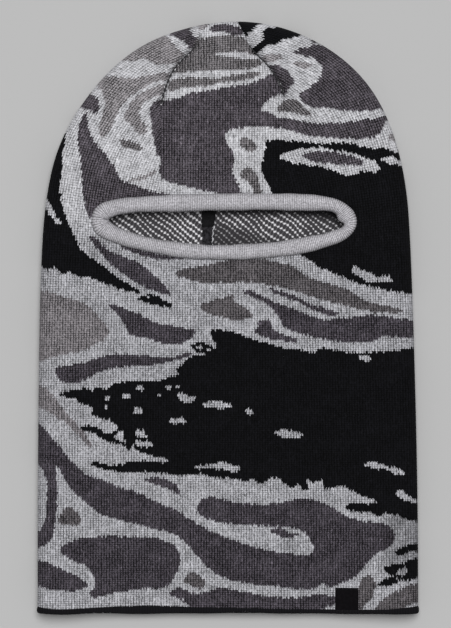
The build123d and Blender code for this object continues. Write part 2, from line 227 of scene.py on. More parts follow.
BLACK_PATCHES = [
    (BLACK, [(-110, 140), (-106, 143), (-99, 144), (-90, 146), (-88, 142), (-86, 145), (-79, 145),
        (-78, 143), (-75, 147), (-69, 149), (-58, 150), (-44, 149), (-38, 152), (-30, 154), (-35, 157),
        (-28, 161), (-28, 164), (-21, 166), (-12, 167), (-19, 167), (-22, 170), (-25, 173), (-18, 175),
        (-12, 173), (-8, 170), (-7, 172), (-10, 177), (-12, 182), (-5, 183), (3, 181), (12, 178), (20, 175),
        (29, 173), (38, 170), (47, 170), (50, 168), (56, 168), (58, 171), (63, 171), (70, 169), (80, 168),
        (92, 168), (110, 169), (114, 171), (126, 171), (126, 58), (116, 60), (107, 64), (99, 64), (98, 62),
        (93, 65), (82, 65), (75, 68), (78, 71), (86, 70), (98, 72), (88, 75), (79, 79), (72, 83), (67, 80),
        (61, 80), (61, 87), (55, 83), (49, 89), (53, 80), (48, 78), (46, 84), (41, 80), (36, 84), (32, 88),
        (25, 86), (21, 82), (16, 88), (11, 84), (6, 87), (-5, 87), (-14, 88), (-20, 90), (-30, 88),
        (-40, 90), (-55, 91), (-70, 91), (-80, 93), (-88, 95), (-88, 99), (-80, 96), (-68, 95), (-66, 98),
        (-50, 98), (-36, 97), (-42, 100), (-52, 102), (-60, 105), (-61, 110), (-63, 104), (-66, 108),
        (-73, 109), (-80, 111), (-86, 116), (-95, 118), (-95, 121), (-90, 121), (-82, 119), (-80, 116),
        (-74, 116), (-70, 121), (-76, 124), (-84, 126), (-89, 129), (-86, 133), (-94, 134), (-97, 138),
        (-103, 139)]),
    (LIGHT, [(97, 293), (104, 295), (110, 292), (116, 291), (114, 288), (104, 288)]),
    (LIGHT, [(78, 220), (82, 225), (87, 220), (92, 220), (95, 217), (102, 218), (108, 215), (103, 212),
        (96, 214), (91, 212), (86, 215)]),
    (LIGHT, [(-122, 269), (-116, 267), (-112, 260), (-109, 254), (-104, 249), (-110, 250), (-114, 255),
        (-119, 261)]),
    (LIGHT, [(-22, 171), (-18, 174), (-15, 170), (-18, 168)]),
    (LIGHT, [(-42, 145), (-39, 148), (-34, 145), (-38, 143)]),
    (LIGHT, [(-34, 140), (-30, 143), (-24, 140), (-19, 139), (-23, 135), (-28, 135)]),
    (LIGHT, [(-18, 133), (-14, 137), (-8, 137), (0, 136), (5, 133), (-3, 131), (-10, 132)]),
    (LIGHT, [(-61, 146), (-57, 148), (-52, 144), (-57, 142)]),
    (LIGHT, [(-70, 141), (-64, 142), (-60, 139), (-66, 137)]),
    (LIGHT, [(-81, 139), (-77, 142), (-74, 138), (-78, 136)]),
    (LIGHT, [(-89, 138), (-86, 139), (-87, 134)]),
    (LIGHT, [(-63, 132), (-58, 133), (-52, 130), (-58, 127)]),
    (LIGHT, [(82, 165), (87, 168), (94, 164), (90, 161), (86, 163)]),
    (LIGHT, [(-74, 112), (-72, 117), (-66, 120), (-67, 113), (-64, 109), (-70, 110)]),
    (LIGHT, [(-61, 119), (-57, 118), (-53, 119), (-53, 115), (-48, 113), (-59, 112)]),
    (LIGHT, [(-61, 111), (-54, 112), (-47, 109), (-51, 106), (-59, 107)]),
    (LIGHT, [(-39, 126), (-34, 125), (-30, 127), (-24, 124), (-31, 121), (-38, 122)]),
    (LIGHT, [(10, 131), (14, 133), (17, 128), (13, 127)]),
    (LIGHT, [(28, 117), (36, 119), (44, 117), (51, 116), (44, 112), (33, 113)]),
    (LIGHT, [(-24, 92), (-20, 96), (-13, 96), (-4, 98), (2, 96), (10, 94), (4, 90), (-2, 92), (-12, 93)]),
    (LIGHT, [(85, 95), (92, 99), (99, 96), (108, 94), (116, 90), (110, 88), (103, 92), (95, 93)]),
    (LIGHT, [(106, 76), (110, 81), (115, 77), (119, 74), (126, 73), (126, 70), (114, 72)]),
]
NECK_PATCHES = [
    (DARK, [(-126, 124), (-119, 121), (-114, 114), (-107, 106), (-101, 98), (-95, 92), (-86, 87), (-77, 85),
        (-68, 80), (-60, 79), (-50, 73), (-40, 69), (-32, 66), (-24, 60), (-15, 55), (-4, 50), (6, 46),
        (16, 43), (28, 40), (40, 38), (50, 37), (60, 42), (62, 16), (48, 15), (35, 17), (20, 18), (6, 20),
        (-4, 23), (-12, 28), (-20, 37), (-27, 45), (-36, 52), (-48, 54), (-60, 58), (-74, 61), (-84, 64),
        (-92, 72), (-100, 79), (-106, 88), (-111, 97), (-110, 86), (-110, 68), (-111, 59), (-113, 49),
        (-117, 44), (-126, 41), (-126, 51), (-119, 55), (-117, 64), (-116, 80), (-118, 92), (-126, 98)]),
    (DARK, [(-21, 65), (-19, 72), (-11, 76), (-2, 73), (8, 71), (20, 70), (34, 71), (46, 74), (56, 73),
        (66, 69), (76, 62), (86, 59), (98, 59), (105, 56), (108, 50), (104, 42), (96, 39), (90, 33),
        (84, 25), (76, 20), (62, 15), (58, 30), (55, 42), (53, 49), (47, 54), (34, 56), (20, 56), (6, 57),
        (-6, 58), (-15, 61)]),
    (DARK, [(26, 53), (33, 56), (41, 51), (48, 51), (38, 48), (29, 51)]),
    (DARK, [(-57, 86), (-46, 88), (-37, 85), (-32, 82), (-30, 75), (-37, 79), (-44, 82)]),
    (SHADE, [(-110, 62), (-104, 69), (-98, 67), (-94, 61), (-96, 56), (-101, 57), (-108, 57)]),
    (DARK, [(-109, 41), (-102, 46), (-95, 49), (-84, 49), (-77, 50), (-60, 49), (-48, 49), (-38, 46),
        (-32, 41), (-30, 34), (-33, 26), (-37, 19), (-43, 15), (-55, 16), (-66, 14), (-79, 12), (-86, 9),
        (-90, 13), (-85, 18), (-87, 26), (-94, 32), (-103, 35)]),
    (DARK, [(-126, 35), (-116, 33), (-106, 28), (-97, 24), (-89, 18), (-96, 14), (-108, 15), (-126, 17)]),
    (DARK, [(-39, 12), (-33, 17), (-26, 14), (-18, 12), (-10, 15), (-4, 17), (4, 15), (14, 13), (24, 11),
        (36, 10), (48, 10), (60, 13), (71, 10), (71, 6), (60, 3), (58, -4), (-24, -4), (-25, 5), (-31, 9)]),
    (SHADE, [(-29, 20), (-26, 26), (-20, 26), (-16, 22), (-14, 18), (-18, 15), (-25, 18)]),
    (SHADE, [(83, 17), (88, 24), (92, 25), (96, 18), (92, 9), (87, 4), (84, 0)]),
    (SHADE, [(126, 20), (114, 18), (103, 12), (96, 6), (93, -3), (106, -3), (112, 3), (117, 6), (126, 7)]),
    # The last rows, under the rolled edge
    (BLACK, [(-126, -9), (-126, 1.6), (126, 1.6), (126, -9)]),
    (BLACK, [(106, 38), (111, 43), (118, 45), (126, 46), (126, 38), (117, 41), (112, 37)]),
    (BLACK, [(99, 29), (103, 31), (110, 32), (118, 35), (126, 37), (126, 24), (118, 22), (111, 21),
        (106, 24), (102, 26)]),
    (LIGHT, [(107, 26), (113, 30), (117, 28), (112, 24)]),
    (BLACK, [(95, 18), (100, 22), (107, 24), (110, 20), (102, 17)]),
]
SINGLE_LIGHT_STITCHES = [(-12.5, 169.5), (-32, 146), (-44.5, 140.5), (-78.5, 132.7),
                         (-51.3, 203.3)]
BACK_ONLY_PATCHES = [
    (DARK, [(-60, 262), (-20, 268), (30, 262), (70, 252), (50, 244), (0, 250), (-40, 250)]),
    (MID, [(-96, 226), (-60, 232), (-10, 228), (24, 236), (60, 230), (20, 222), (-40, 218)]),
]
# Painted darkening, as outline, share of brightness lost and how far the loss takes to set in
# Inside the slot: first a darker stretch of the inside, right of the tape
INSIDE_PAINTED_DARKENING = [([(-12, 253), (-4, 251), (6, 248), (16, 245), (30, 241), (42, 238), (38, 226),
                (-12, 226)], 0.55, 1.5),
              # then painted shadow along the right part of the slot's top edge, under the trim
              ([(-8, 264), (-8, 258), (14, 257.4), (40, 257), (54, 256), (62, 254.2), (68, 252),
                (74, 252), (76, 264)], 0.85, 1.5)]
# Painted shade on the lower right, beside the side fold
OUTSIDE_PAINTED_SHADE = [([(102, 64), (126, 66), (126, 24), (110, 24), (100, 32), (100, 50)], 0.35, 5.0)]
BACK_SWIRL_UP = 46.0  # how far the back's stripes run above the front's
BACK_SWIRL_ACROSS = 24.0  # how far they sway from side to side
BACK_SWIRL_LENGTH = 38.0  # mm of height to one radian of that sway
BACK_SWIRL_START = (10.0, 60.0)  # heights between which they begin to run up
BACK_SWIRL_TOP = 8.0  # mm below the crown from which the highest stripe is taken
FOLD_MARGIN = 2.0  # mm in from the side folds where the swirl has died away


# ------------------------------------------------------------------ lines and places

def rounded(corners, closed=True, rounds=3):
    """The smooth line inside straight runs, by cutting each corner again and again."""
    line = np.array(corners, float)
    for _ in range(rounds):
        here = line if closed else line[:-1]
        ahead = np.roll(line, -1, axis=0) if closed else line[1:]
        cut = np.stack([0.75 * here + 0.25 * ahead, 0.25 * here + 0.75 * ahead], axis=1)
        cut = cut.reshape(-1, 2)
        line = cut if closed else np.concatenate([line[:1], cut, line[-1:]])
    return line


def lengths_along(line):
    """The length from a line's start to each of its points."""
    steps = np.linalg.norm(np.diff(line, axis=0), axis=1)
    return np.concatenate([[0.0], np.cumsum(steps)])


def point_at(line, length):
    """The points of a line at the given lengths along it."""
    along = lengths_along(line)
    return np.stack([np.interp(length, along, line[:, axis]) for axis in range(line.shape[1])], -1)


def evenly(line, count, closed=False):
    """The line as `count` points, evenly spaced."""
    if closed:
        line = np.concatenate([line, line[:1]])
    total = lengths_along(line)[-1]
    return point_at(line, np.linspace(0, total, count, endpoint=not closed))


def closed_line(line):
    """A line that comes back to its first point."""
    return np.concatenate([line, line[:1]])


def distance_to(line, points):
    """How far each point is from a line of straight runs."""
    nearest = np.full(len(points), np.inf)
    for start, end in zip(line[:-1], line[1:]):
        run = end - start
        share = np.clip(((points - start) @ run) / max(run @ run, 1e-9), 0, 1)
        gap = np.linalg.norm(points - start - share[:, None] * run, axis=1)
        nearest = np.minimum(nearest, gap)
    return nearest


def inside(outline, points):
    """Whether each point lies inside a closed outline."""
    result = np.zeros(len(points), bool)
    low, high = outline.min(0), outline.max(0)
    near = np.flatnonzero(np.all((points >= low) & (points <= high), axis=1))
    x, y = points[near, 0], points[near, 1]
    odd = np.zeros(len(near), bool)
    for (x0, y0), (x1, y1) in zip(outline, np.roll(outline, -1, axis=0)):
        if y0 == y1:
            continue
        crosses = (y0 > y) != (y1 > y)
        odd ^= crosses & (x < (x1 - x0) * (y - y0) / (y1 - y0) + x0)
    result[near] = odd
    return result


def smooth_step(value, low, high):
    """0 below low, 1 above high, and an even curve between them."""
    share = np.clip((value - low) / (high - low), 0, 1)
    return share * share * (3 - 2 * share)


def unit(vectors):
    """Vectors in the same directions, each 1 long."""
    return vectors / np.linalg.norm(vectors, axis=1)[:, None]


def bell(distance, width):
    """1 on a line, falling off on both sides of it over about a width."""
    return np.exp(-(distance / width) ** 2)


def metres(points):
    """Points from x, height above the hem and z in mm to the frame."""
    points = np.asarray(points, float)
    return (points + np.array([0.0, HEM_Y, 0.0])) / 1000


# ------------------------------------------------------------------ camouflage

def smooth_patches():
    """Every patch as its tone, its outline and how far its stitches stay inside that."""
    patches = []
    for group in (CROWN_PATCHES, SIDE_PATCHES, BLACK_PATCHES, NECK_PATCHES):
        for tone, corners in group:
            inset = FLECK_INSET if group is BLACK_PATCHES and tone == LIGHT else 0.0
            patches.append((tone, rounded(corners, rounds=2), inset))
    return patches


SMOOTH_PATCHES = smooth_patches()


def front_tones(points):
    """The yarn of each stitch on the front."""
    wander = points + RANDOM.normal(0, EDGE_JITTER, points.shape)
    tones = np.full(len(points), LIGHT)
    for tone, outline, inset in SMOOTH_PATCHES:
        patch = inside(outline, wander)
        if inset:
            patch[patch] = distance_to(closed_line(outline), wander[patch]) > inset
        tones[patch] = tone
    for stitch in SINGLE_LIGHT_STITCHES:
        tones[np.linalg.norm(points - stitch, axis=1) < SINGLE_REACH] = LIGHT
    return tones


def back_tones(points):
    """The yarn of each stitch on the back: the same stripes, swirled, and met at the folds."""
    share = np.cos(np.clip(points[:, 0] / (CAD_HIGH[0] - FOLD_MARGIN), -1, 1) * math.pi / 2)
    swirled = points.copy()
    swirled[:, 0] += BACK_SWIRL_ACROSS * share * np.sin(points[:, 1] / BACK_SWIRL_LENGTH)
    swirled[:, 1] += BACK_SWIRL_UP * share * smooth_step(points[:, 1], *BACK_SWIRL_START)
    swirled[:, 1] = np.minimum(swirled[:, 1], LENGTH - BACK_SWIRL_TOP)
    tones = front_tones(swirled)
    for tone, corners in BACK_ONLY_PATCHES:
        patch = inside(rounded(corners, rounds=2), swirled)
        tones[patch & (tones == LIGHT)] = tone
    return tones


def yarn_colours(points, tones):
    """A colour for each stitch, with the unevenness of real yarn, painted lighter towards the crown."""
    crown = smooth_step(points[:, 1], *CROWN_BLEND_HEIGHTS)
    contrast = NECK_CONTRAST[tones] * (1 - crown) + CROWN_CONTRAST[tones] * crown
    crown = crown[:, None]
    # painted light: the same yarns are lighter towards the crown than at the neck
    colours = NECK_YARN[tones] * (1 - crown) + CROWN_YARN_PAINTED_LIGHTER[tones] * crown
    spread = 1 + STITCH_SPREAD[tones] * RANDOM.normal(0, 1, len(points))
    gap = RANDOM.random(len(points)) < GAP_SHARE[tones]
    spread = np.clip(spread, *STITCH_LIMITS) * np.where(gap, GAP_TONE[tones], 1.0)
    return np.concatenate([colours * spread[:, None], contrast[:, None]], axis=1)


# ------------------------------------------------------------------ meshes

def new_object(name, points, faces, materials, body="balaclava"):
    """A smooth-shaded mesh piece that rides on a CAD body."""
    mesh = bpy.data.meshes.new(name)
    mesh.from_pydata(metres(points).tolist(), [], [list(map(int, face)) for face in faces])
    for material in materials:
        mesh.materials.append(material)
    mesh.polygons.foreach_set("use_smooth", np.ones(len(mesh.polygons), bool))
    piece = bpy.data.objects.new(name, mesh)
    bpy.context.scene.collection.objects.link(piece)
    if body:
        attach(piece, body)
    return piece


def give_stitch(piece, values):
    """Stores three numbers for each point, which the materials read as its place in the knit."""
    attribute = piece.data.attributes.new("stitch", "FLOAT_VECTOR", "POINT")
    attribute.data.foreach_set("vector", values.astype(np.float32).ravel())


def grid_quads(rows, columns):
    """The quads of a grid of points, row by row."""
    index = np.arange(rows * columns).reshape(rows, columns)
    corners = [index[:-1, :-1], index[:-1, 1:], index[1:, 1:], index[1:, :-1]]
    return np.stack([corner.ravel() for corner in corners], axis=1)


def swept_faces(rings, around, closed_path):
    """The quads of rings of points joined along a path, with capped ends where it is open."""
    faces = []
    for ring in range(rings if closed_path else rings - 1):
        following = (ring + 1) % rings
        for step in range(around):
            beside = (step + 1) % around
            faces.append((ring * around + step, ring * around + beside,
                          following * around + beside, following * around + step))
    if not closed_path:
        faces.append(tuple(reversed(range(around))))
        faces.append(tuple(range((rings - 1) * around, rings * around)))
    return faces


THREAD_AROUND = 6  # points in each ring round a thread


def thread_points(line, radius):
    """Rings of points round a line in space, for a thread; its radius may vary along it."""
    line = np.asarray(line, float)
    radius = np.broadcast_to(radius, len(line))[:, None]
    ahead = np.gradient(line, axis=0)
    ahead /= np.linalg.norm(ahead, axis=1)[:, None] + 1e-9
    side = np.cross(ahead, (0.0, 0.0, 1.0))
    steep = np.linalg.norm(side, axis=1) < 0.1
    side[steep] = (1.0, 0.0, 0.0)
    side = unit(side)
    up = np.cross(side, ahead)
    turns = np.arange(THREAD_AROUND) * 2 * math.pi / THREAD_AROUND
    rings = [line + radius * (math.cos(turn) * side + math.sin(turn) * up) for turn in turns]
    return np.stack(rings, axis=1).reshape(-1, 3)


def thread_piece(name, line, radius, material):
    """A thread along a line, as a piece."""
    return new_object(name, thread_points(line, radius),
                      swept_faces(len(line), THREAD_AROUND, False), [material])


# ------------------------------------------------------------------ knitted layers

def fold(along, radius, ridge=0.0):
    """Distance in from the silhouette and height above mid-level, at a length round a side fold."""
    turn = np.minimum(along / radius, math.pi / 2)
    beyond = np.maximum(along - radius * math.pi / 2, 0)
    inward = MIDDLE - (radius + ridge) * np.cos(turn) + beyond
    return inward, (radius + ridge) * np.sin(turn), np.sin(turn) ** 2


def silhouette(side):
    """One half of the outline, from the hem to the crown. side is -1 for left and 1 for right."""
    line = rounded(BODY_OUTLINE, closed=False)
    line = line if side > 0 else line[::-1]
    top = np.argmax(line[:, 1] > LENGTH - 0.01)
    return line[:top + PAST_TOP]


def crown_height(x):
    """Height of the edge of the crown at x."""
    crown = evenly(rounded(BODY_OUTLINE, closed=False), OUTLINE_POINTS)[::-1]
    crown = crown[crown[:, 1] > LENGTH - MIDDLE]
    return np.interp(x, crown[:, 0], crown[:, 1])


def cut_at(line, start_height, end_x, side):
    """The part of a half outline from a height to the point where it reaches end_x."""
    fine = evenly(line, OUTLINE_POINTS)
    keep = (fine[:, 1] >= start_height) & (side * fine[:, 0] >= side * end_x)
    return fine[keep]


def side_grid(side, seam, radius, level_sign, wale, course, cells, ridge=0.0, chevron=0.0):
    """A knitted area from the silhouette in to a seam line, its columns parallel to the fold.

    Rows are evenly spaced on the seam and fan out to the rim. A column ends where it meets the
    seam, so its points beyond are gathered on the seam and the quads between them are left out.
    """
    rim = cut_at(silhouette(side), 0.0, seam[-1][0], side)
    rim_length, seam_length = lengths_along(rim)[-1], lengths_along(seam)[-1]
    rows = int(round(seam_length / course)) + 1
    widest = abs(rim[0][0] - seam[0][0])
    columns = int((widest - MIDDLE + radius * math.pi / 2) / wale * cells) + 3
    column, row = np.meshgrid(np.arange(columns), np.arange(rows))
    middle = column % 2 if cells == 2 else np.zeros_like(column)
    on_seam = np.clip((row - chevron * middle) * seam_length / (rows - 1), 0, seam_length)
    fan = np.clip((on_seam - FAN_START) / (seam_length - FAN_START), 0, 1) ** FAN_POWER
    on_rim = on_seam + (rim_length - seam_length) * fan
    start, end = point_at(rim, on_rim), point_at(seam, on_seam)
    across = end - start
    width = np.linalg.norm(across, axis=-1)
    direction = across / np.maximum(width, 1e-6)[..., None]
    inward, rise, flat = fold(column * wale / cells, radius, ridge * middle)
    held = np.minimum(inward, width)
    place = start + direction * held[..., None]
    points = np.concatenate([place, (MIDDLE + level_sign * rise)[..., None]], -1).reshape(-1, 3)
    quads = grid_quads(rows, columns)
    beyond = (inward >= width).reshape(-1)
    quads = quads[~np.all(beyond[quads], axis=1)]
    stitch = np.stack([column / cells, row.astype(float)], -1).reshape(-1, 2)
    return {"points": points, "quads": quads, "stitch": stitch, "flat": flat.reshape(-1)}


def centre_grid():
    """The front between the two darts, its columns upright, folded over at the crown."""
    left = rounded(FRONT_LEFT_DART, closed=False)
    right = rounded(FRONT_RIGHT_DART, closed=False)
    wales = int(round((right[0][0] - left[0][0]) / WALE))
    columns = 2 * wales + 1
    fold_start = LENGTH - MIDDLE
    rows = int((fold_start + MIDDLE * math.pi / 2) / COURSE) + 2
    column, row = np.meshgrid(np.arange(columns), np.arange(rows))
    middle = column % 2
    up = np.clip((row - CHEVRON * middle) * COURSE, 0, fold_start + MIDDLE * math.pi / 2)
    turn = np.clip((up - fold_start) / MIDDLE, 0, math.pi / 2)
    height = np.minimum(up, fold_start) + (MIDDLE + RIDGE * middle) * np.sin(turn)
    level = MIDDLE + (MIDDLE + RIDGE * middle) * np.cos(turn)
    x = left[0][0] + column * (right[0][0] - left[0][0]) / (columns - 1)
    fall = LENGTH - crown_height(np.clip(x, left[-1][0], right[-1][0]))
    height -= fall * smooth_step(height, fold_start - CROWN_EASE, fold_start)
    low = np.interp(height, left[:, 1], left[:, 0])
    high = np.interp(height, right[:, 1], right[:, 0])
    held = np.clip(x, low, high)
    points = np.stack([held, height, level], -1).reshape(-1, 3)
    quads = grid_quads(rows, columns)
    beyond = ((x <= low) & (x < held + 1e-9) & (held > x)).reshape(-1)
    over = (x > high).reshape(-1)
    quads = quads[~(np.all(beyond[quads], axis=1) | np.all(over[quads], axis=1))]
    stitch = np.stack([column / 2, row.astype(float)], -1).reshape(-1, 2)
    return {"points": points, "quads": quads, "stitch": stitch,
            "flat": np.cos(turn).reshape(-1) ** 2}


def joined(grids):
    """Several grids as one."""
    offset = 0
    quads = []
    for grid in grids:
        quads.append(grid["quads"] + offset)
        offset += len(grid["points"])
    result = {name: np.concatenate([grid[name] for grid in grids])
              for name in ("points", "stitch", "flat")}
    result["quads"] = np.concatenate(quads)
    return result


def soft_waves(points):
    """The slight unevenness of knit that lies flat."""
    x, height = points[:, 0], points[:, 1]
    broad = np.sin(x / 34 + height / 51) + np.sin(height / 29 - x / 63 + 1.3)
    return 0.28 * broad + 0.12 * np.sin(x / 13 + 2.1 * np.sin(height / 37))


def front_sag(points):
    """How far the front layer sinks on to the back between the side folds, most at the hem."""
    across = 1 - smooth_step(np.abs(points[:, 0]), *SAG_ACROSS)
    along = 1 - smooth_step(points[:, 1], *SAG_ALONG)
    return SAG * across * along * smooth_step(points[:, 2], MIDDLE, FRONT_TOP - KNIT - 1)


def under_crown(points):
    """Points of a front face, brought down on to the curve of the fold over the crown."""
    near = points[:, 1] > LENGTH - 2 * MIDDLE
    rim = evenly(rounded(BODY_OUTLINE, closed=False), 200)
    rim = rim[rim[:, 1] > LENGTH - 5 * MIDDLE]
    inward = np.minimum(distance_to(rim, points[near, :2]), MIDDLE)
    highest = np.sqrt(np.maximum(MIDDLE ** 2 - (MIDDLE - inward) ** 2, 0)) + RIDGE
    points[near, 2] = np.minimum(points[near, 2], MIDDLE + highest)


DART_DEPTH = 4.2  # of the groove that a dart pulls into the front
DART_WIDTH = 1.5
DART_LOST = 0.75  # share of its depth that it loses at the crown
DART_FADE = (362.0, 370.0)  # heights between which it does
PUFF_HEIGHT = 0.5  # how far the knit beside a dart puffs up
PUFF_PLACE = 3.5  # how far from the dart it does, in widths of the groove
PUFF_WIDTH = 2.0
TRIM_DIP_DEPTH = 1.6  # how far the front is drawn in along the trim
TRIM_DIP_WIDTH = 6.0
BACK_GROOVE_DEPTH = 0.9  # of the darts and the seam in the back
BACK_GROOVE_WIDTH = 1.6


def dart_groove(points, dart):
    """A groove along a front dart, shallower at the crown, with the knit puffed up beside it."""
    gap = distance_to(rounded(dart, closed=False), points[:, :2])
    depth = DART_DEPTH * (1 - DART_LOST * smooth_step(points[:, 1], *DART_FADE))
    puff = PUFF_HEIGHT * bell(gap - PUFF_PLACE * DART_WIDTH, PUFF_WIDTH * DART_WIDTH)
    return puff - depth * bell(gap, DART_WIDTH)


def front_lift(grid):
    """How far each point of the front's outer face stands above its plain form."""
    points = grid["points"]
    lift = soft_waves(points)
    for dart in (FRONT_LEFT_DART, FRONT_RIGHT_DART):
        lift += dart_groove(points, dart)
    gap = distance_to(closed_line(trim_middle()), points[:, :2])
    lift -= TRIM_DIP_DEPTH * bell(gap, TRIM_DIP_WIDTH)
    return lift * grid["flat"]


TRIM_SMOOTHING = 6  # times that its middle line is smoothed


def trim_middle(count=420):
    """The middle line of the trim round the eye slot."""
    outer = evenly(rounded(TRIM_OUTER), count, closed=True)
    inner = evenly(rounded(TRIM_INNER), 4 * count, closed=True)
    nearest = np.argmin(np.linalg.norm(outer[:, None] - inner[None], axis=2), axis=1)
    middle = (outer + inner[nearest]) / 2
    for _ in range(TRIM_SMOOTHING):
        middle = (np.roll(middle, 1, axis=0) + 2 * middle + np.roll(middle, -1, axis=0)) / 4
    return middle


def painted_darkening_kept(places, dim_places):
    """How much of its brightness each place keeps under the painted darkening."""
    flat = places[..., :2].reshape(-1, 2)
    light = np.ones(len(flat))
    for corners, share, soft in dim_places:
        outline = rounded(corners, rounds=2)
        gap = distance_to(closed_line(outline), flat)
        depth = np.where(inside(outline, flat), gap, -gap)
        light *= 1 - share * smooth_step(depth, -soft, soft)
    return light.reshape(places.shape[:-1])


def quad_middles(grid):
    """The middle of each quad, as x and height."""
    return grid["points"][grid["quads"]].mean(axis=1)[:, :2]


def knit_piece(name, outer, inner, lift, tones_of, materials, hole=None):
    """A layer of knit: a stitched outer face that carries the camouflage, and a plain inner face."""
    if hole is not None:
        for grid in (outer, inner):
            grid["quads"] = grid["quads"][~inside(hole, quad_middles(grid))]
    places = quad_middles(outer)
    colours = yarn_colours(places, tones_of(places))
    # painted shade at the lower right, multiplied into the yarn colours of the outer face
    colours[:, :3] *= painted_darkening_kept(places, OUTSIDE_PAINTED_SHADE)[:, None]
    outer["points"][:, 2] += lift(outer)
    outer["points"] += RANDOM.normal(0, UNEVEN, outer["points"].shape) * outer["flat"][:, None]
    points = np.concatenate([outer["points"], inner["points"]])
    points[:, 2] -= front_sag(points)
    quads = np.concatenate([outer["quads"], inner["quads"] + len(outer["points"])])
    piece = new_object(name, points, quads, materials)
    mesh = piece.data
    index = np.zeros(len(quads), int)
    index[len(outer["quads"]):] = 1
    mesh.polygons.foreach_set("material_index", index)
    attribute = mesh.attributes.new("yarn", "FLOAT_COLOR", "CORNER")
    corner_colours = np.ones((len(quads), 4, 4))
    corner_colours[:len(colours)] = colours[:, None]
    # the inner faces' colour holds the painted darkening of the inside seen through the slot
    light = painted_darkening_kept(points[quads[len(colours):]], INSIDE_PAINTED_DARKENING)
    corner_colours[len(colours):, :, :3] = light[..., None]
    attribute.data.foreach_set("color", corner_colours.astype(np.float32).ravel())
    stitch = np.zeros((len(points), 3))
    stitch[:len(outer["points"]), :2] = outer["stitch"]
    give_stitch(piece, stitch)
    return piece


def front_seam(dart):
    """A dart and the straight column of stitches that runs down from it to the hem."""
    dart = rounded(dart, closed=False)
    return np.concatenate([[(dart[0][0], 0.0)], dart])


def back_seam():
    """The centre-back seam, from the hem to just below the edge of the crown."""
    return np.array([(SEAM_X, 0.0), (SEAM_X, crown_height(SEAM_X) - 0.2)])


def make_front(materials):
    """The front layer, in three areas that meet at the darts, with the eye slot cut out."""
    seams = {-1: front_seam(FRONT_LEFT_DART), 1: front_seam(FRONT_RIGHT_DART)}
    outer = [side_grid(side, seam, MIDDLE, 1, WALE, COURSE, 2, RIDGE, CHEVRON)
             for side, seam in seams.items()]
    middle = back_seam()
    inner = [side_grid(side, middle, INNER_RADIUS, 1, INSIDE_CELL, INSIDE_CELL, 1)
             for side in seams]
    outer = joined(outer + [centre_grid()])
    under_crown(outer["points"])
    piece = knit_piece("front_knit", outer, joined(inner), front_lift, front_tones, materials,
                       hole=trim_middle())
    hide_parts("front_panel")
    return piece


def back_lift(grid):
    """How far each point of the back's outer face is drawn up from its plain form."""
    points = grid["points"]
    lift = np.zeros(len(points))
    darts = [rounded(dart, closed=False) for dart in (BACK_LEFT_DART, BACK_RIGHT_DART)]
    for seam in (*darts, back_seam()):
        gap = distance_to(seam, points[:, :2])
        lift += BACK_GROOVE_DEPTH * bell(gap, BACK_GROOVE_WIDTH)
    return lift * grid["flat"]


def make_back(side, name, node, materials):
    """The back layer on one side of the centre-back seam."""
    seam = back_seam()
    outer = side_grid(side, seam, MIDDLE, -1, WALE, COURSE, 1)
    inner = side_grid(side, seam, INNER_RADIUS, -1, INSIDE_CELL, INSIDE_CELL, 1)
    piece = knit_piece(name, outer, inner, back_lift, back_tones, materials)
    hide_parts(node)
    return piece


# ------------------------------------------------------------------ trim, hem, labels, threads

TRIM_RIB = 1.15  # pitch of the trim's cross ribs
TRIM_RIB_DEPTH = 0.12
TRIM_RIB_SIDE = 0.6  # share of that depth at the tube's sides
TRIM_STEPS = 4  # rings of points to one rib
TRIM_AROUND = 20  # points in each ring
TRIM_WAVES = [(0.16, 9, 0.0), (0.12, 23, 1.7)]  # mm, count round the slot and phase of its wobble
TRIM_TOP = node_box("eye_trim")[1][2]
TRIM_LOW = node_box("eye_trim")[0][2]
TRIM_PROUD = 1.0  # how far the soft tube swells past its plain form
PINCH_WIDTH = 1.0  # mm, of the crease at the join
PINCH_LEAST = 0.25  # share of the tube's height lost all round it
PINCH_DEPTH = 0.75  # share lost besides, towards the slot
PINCH_REACH = 6.0  # mm from the join within which there is a pinch
TRIM_JOIN = (node_box("eye_trim_join_seam")[0] + node_box("eye_trim_join_seam")[1]) / 2


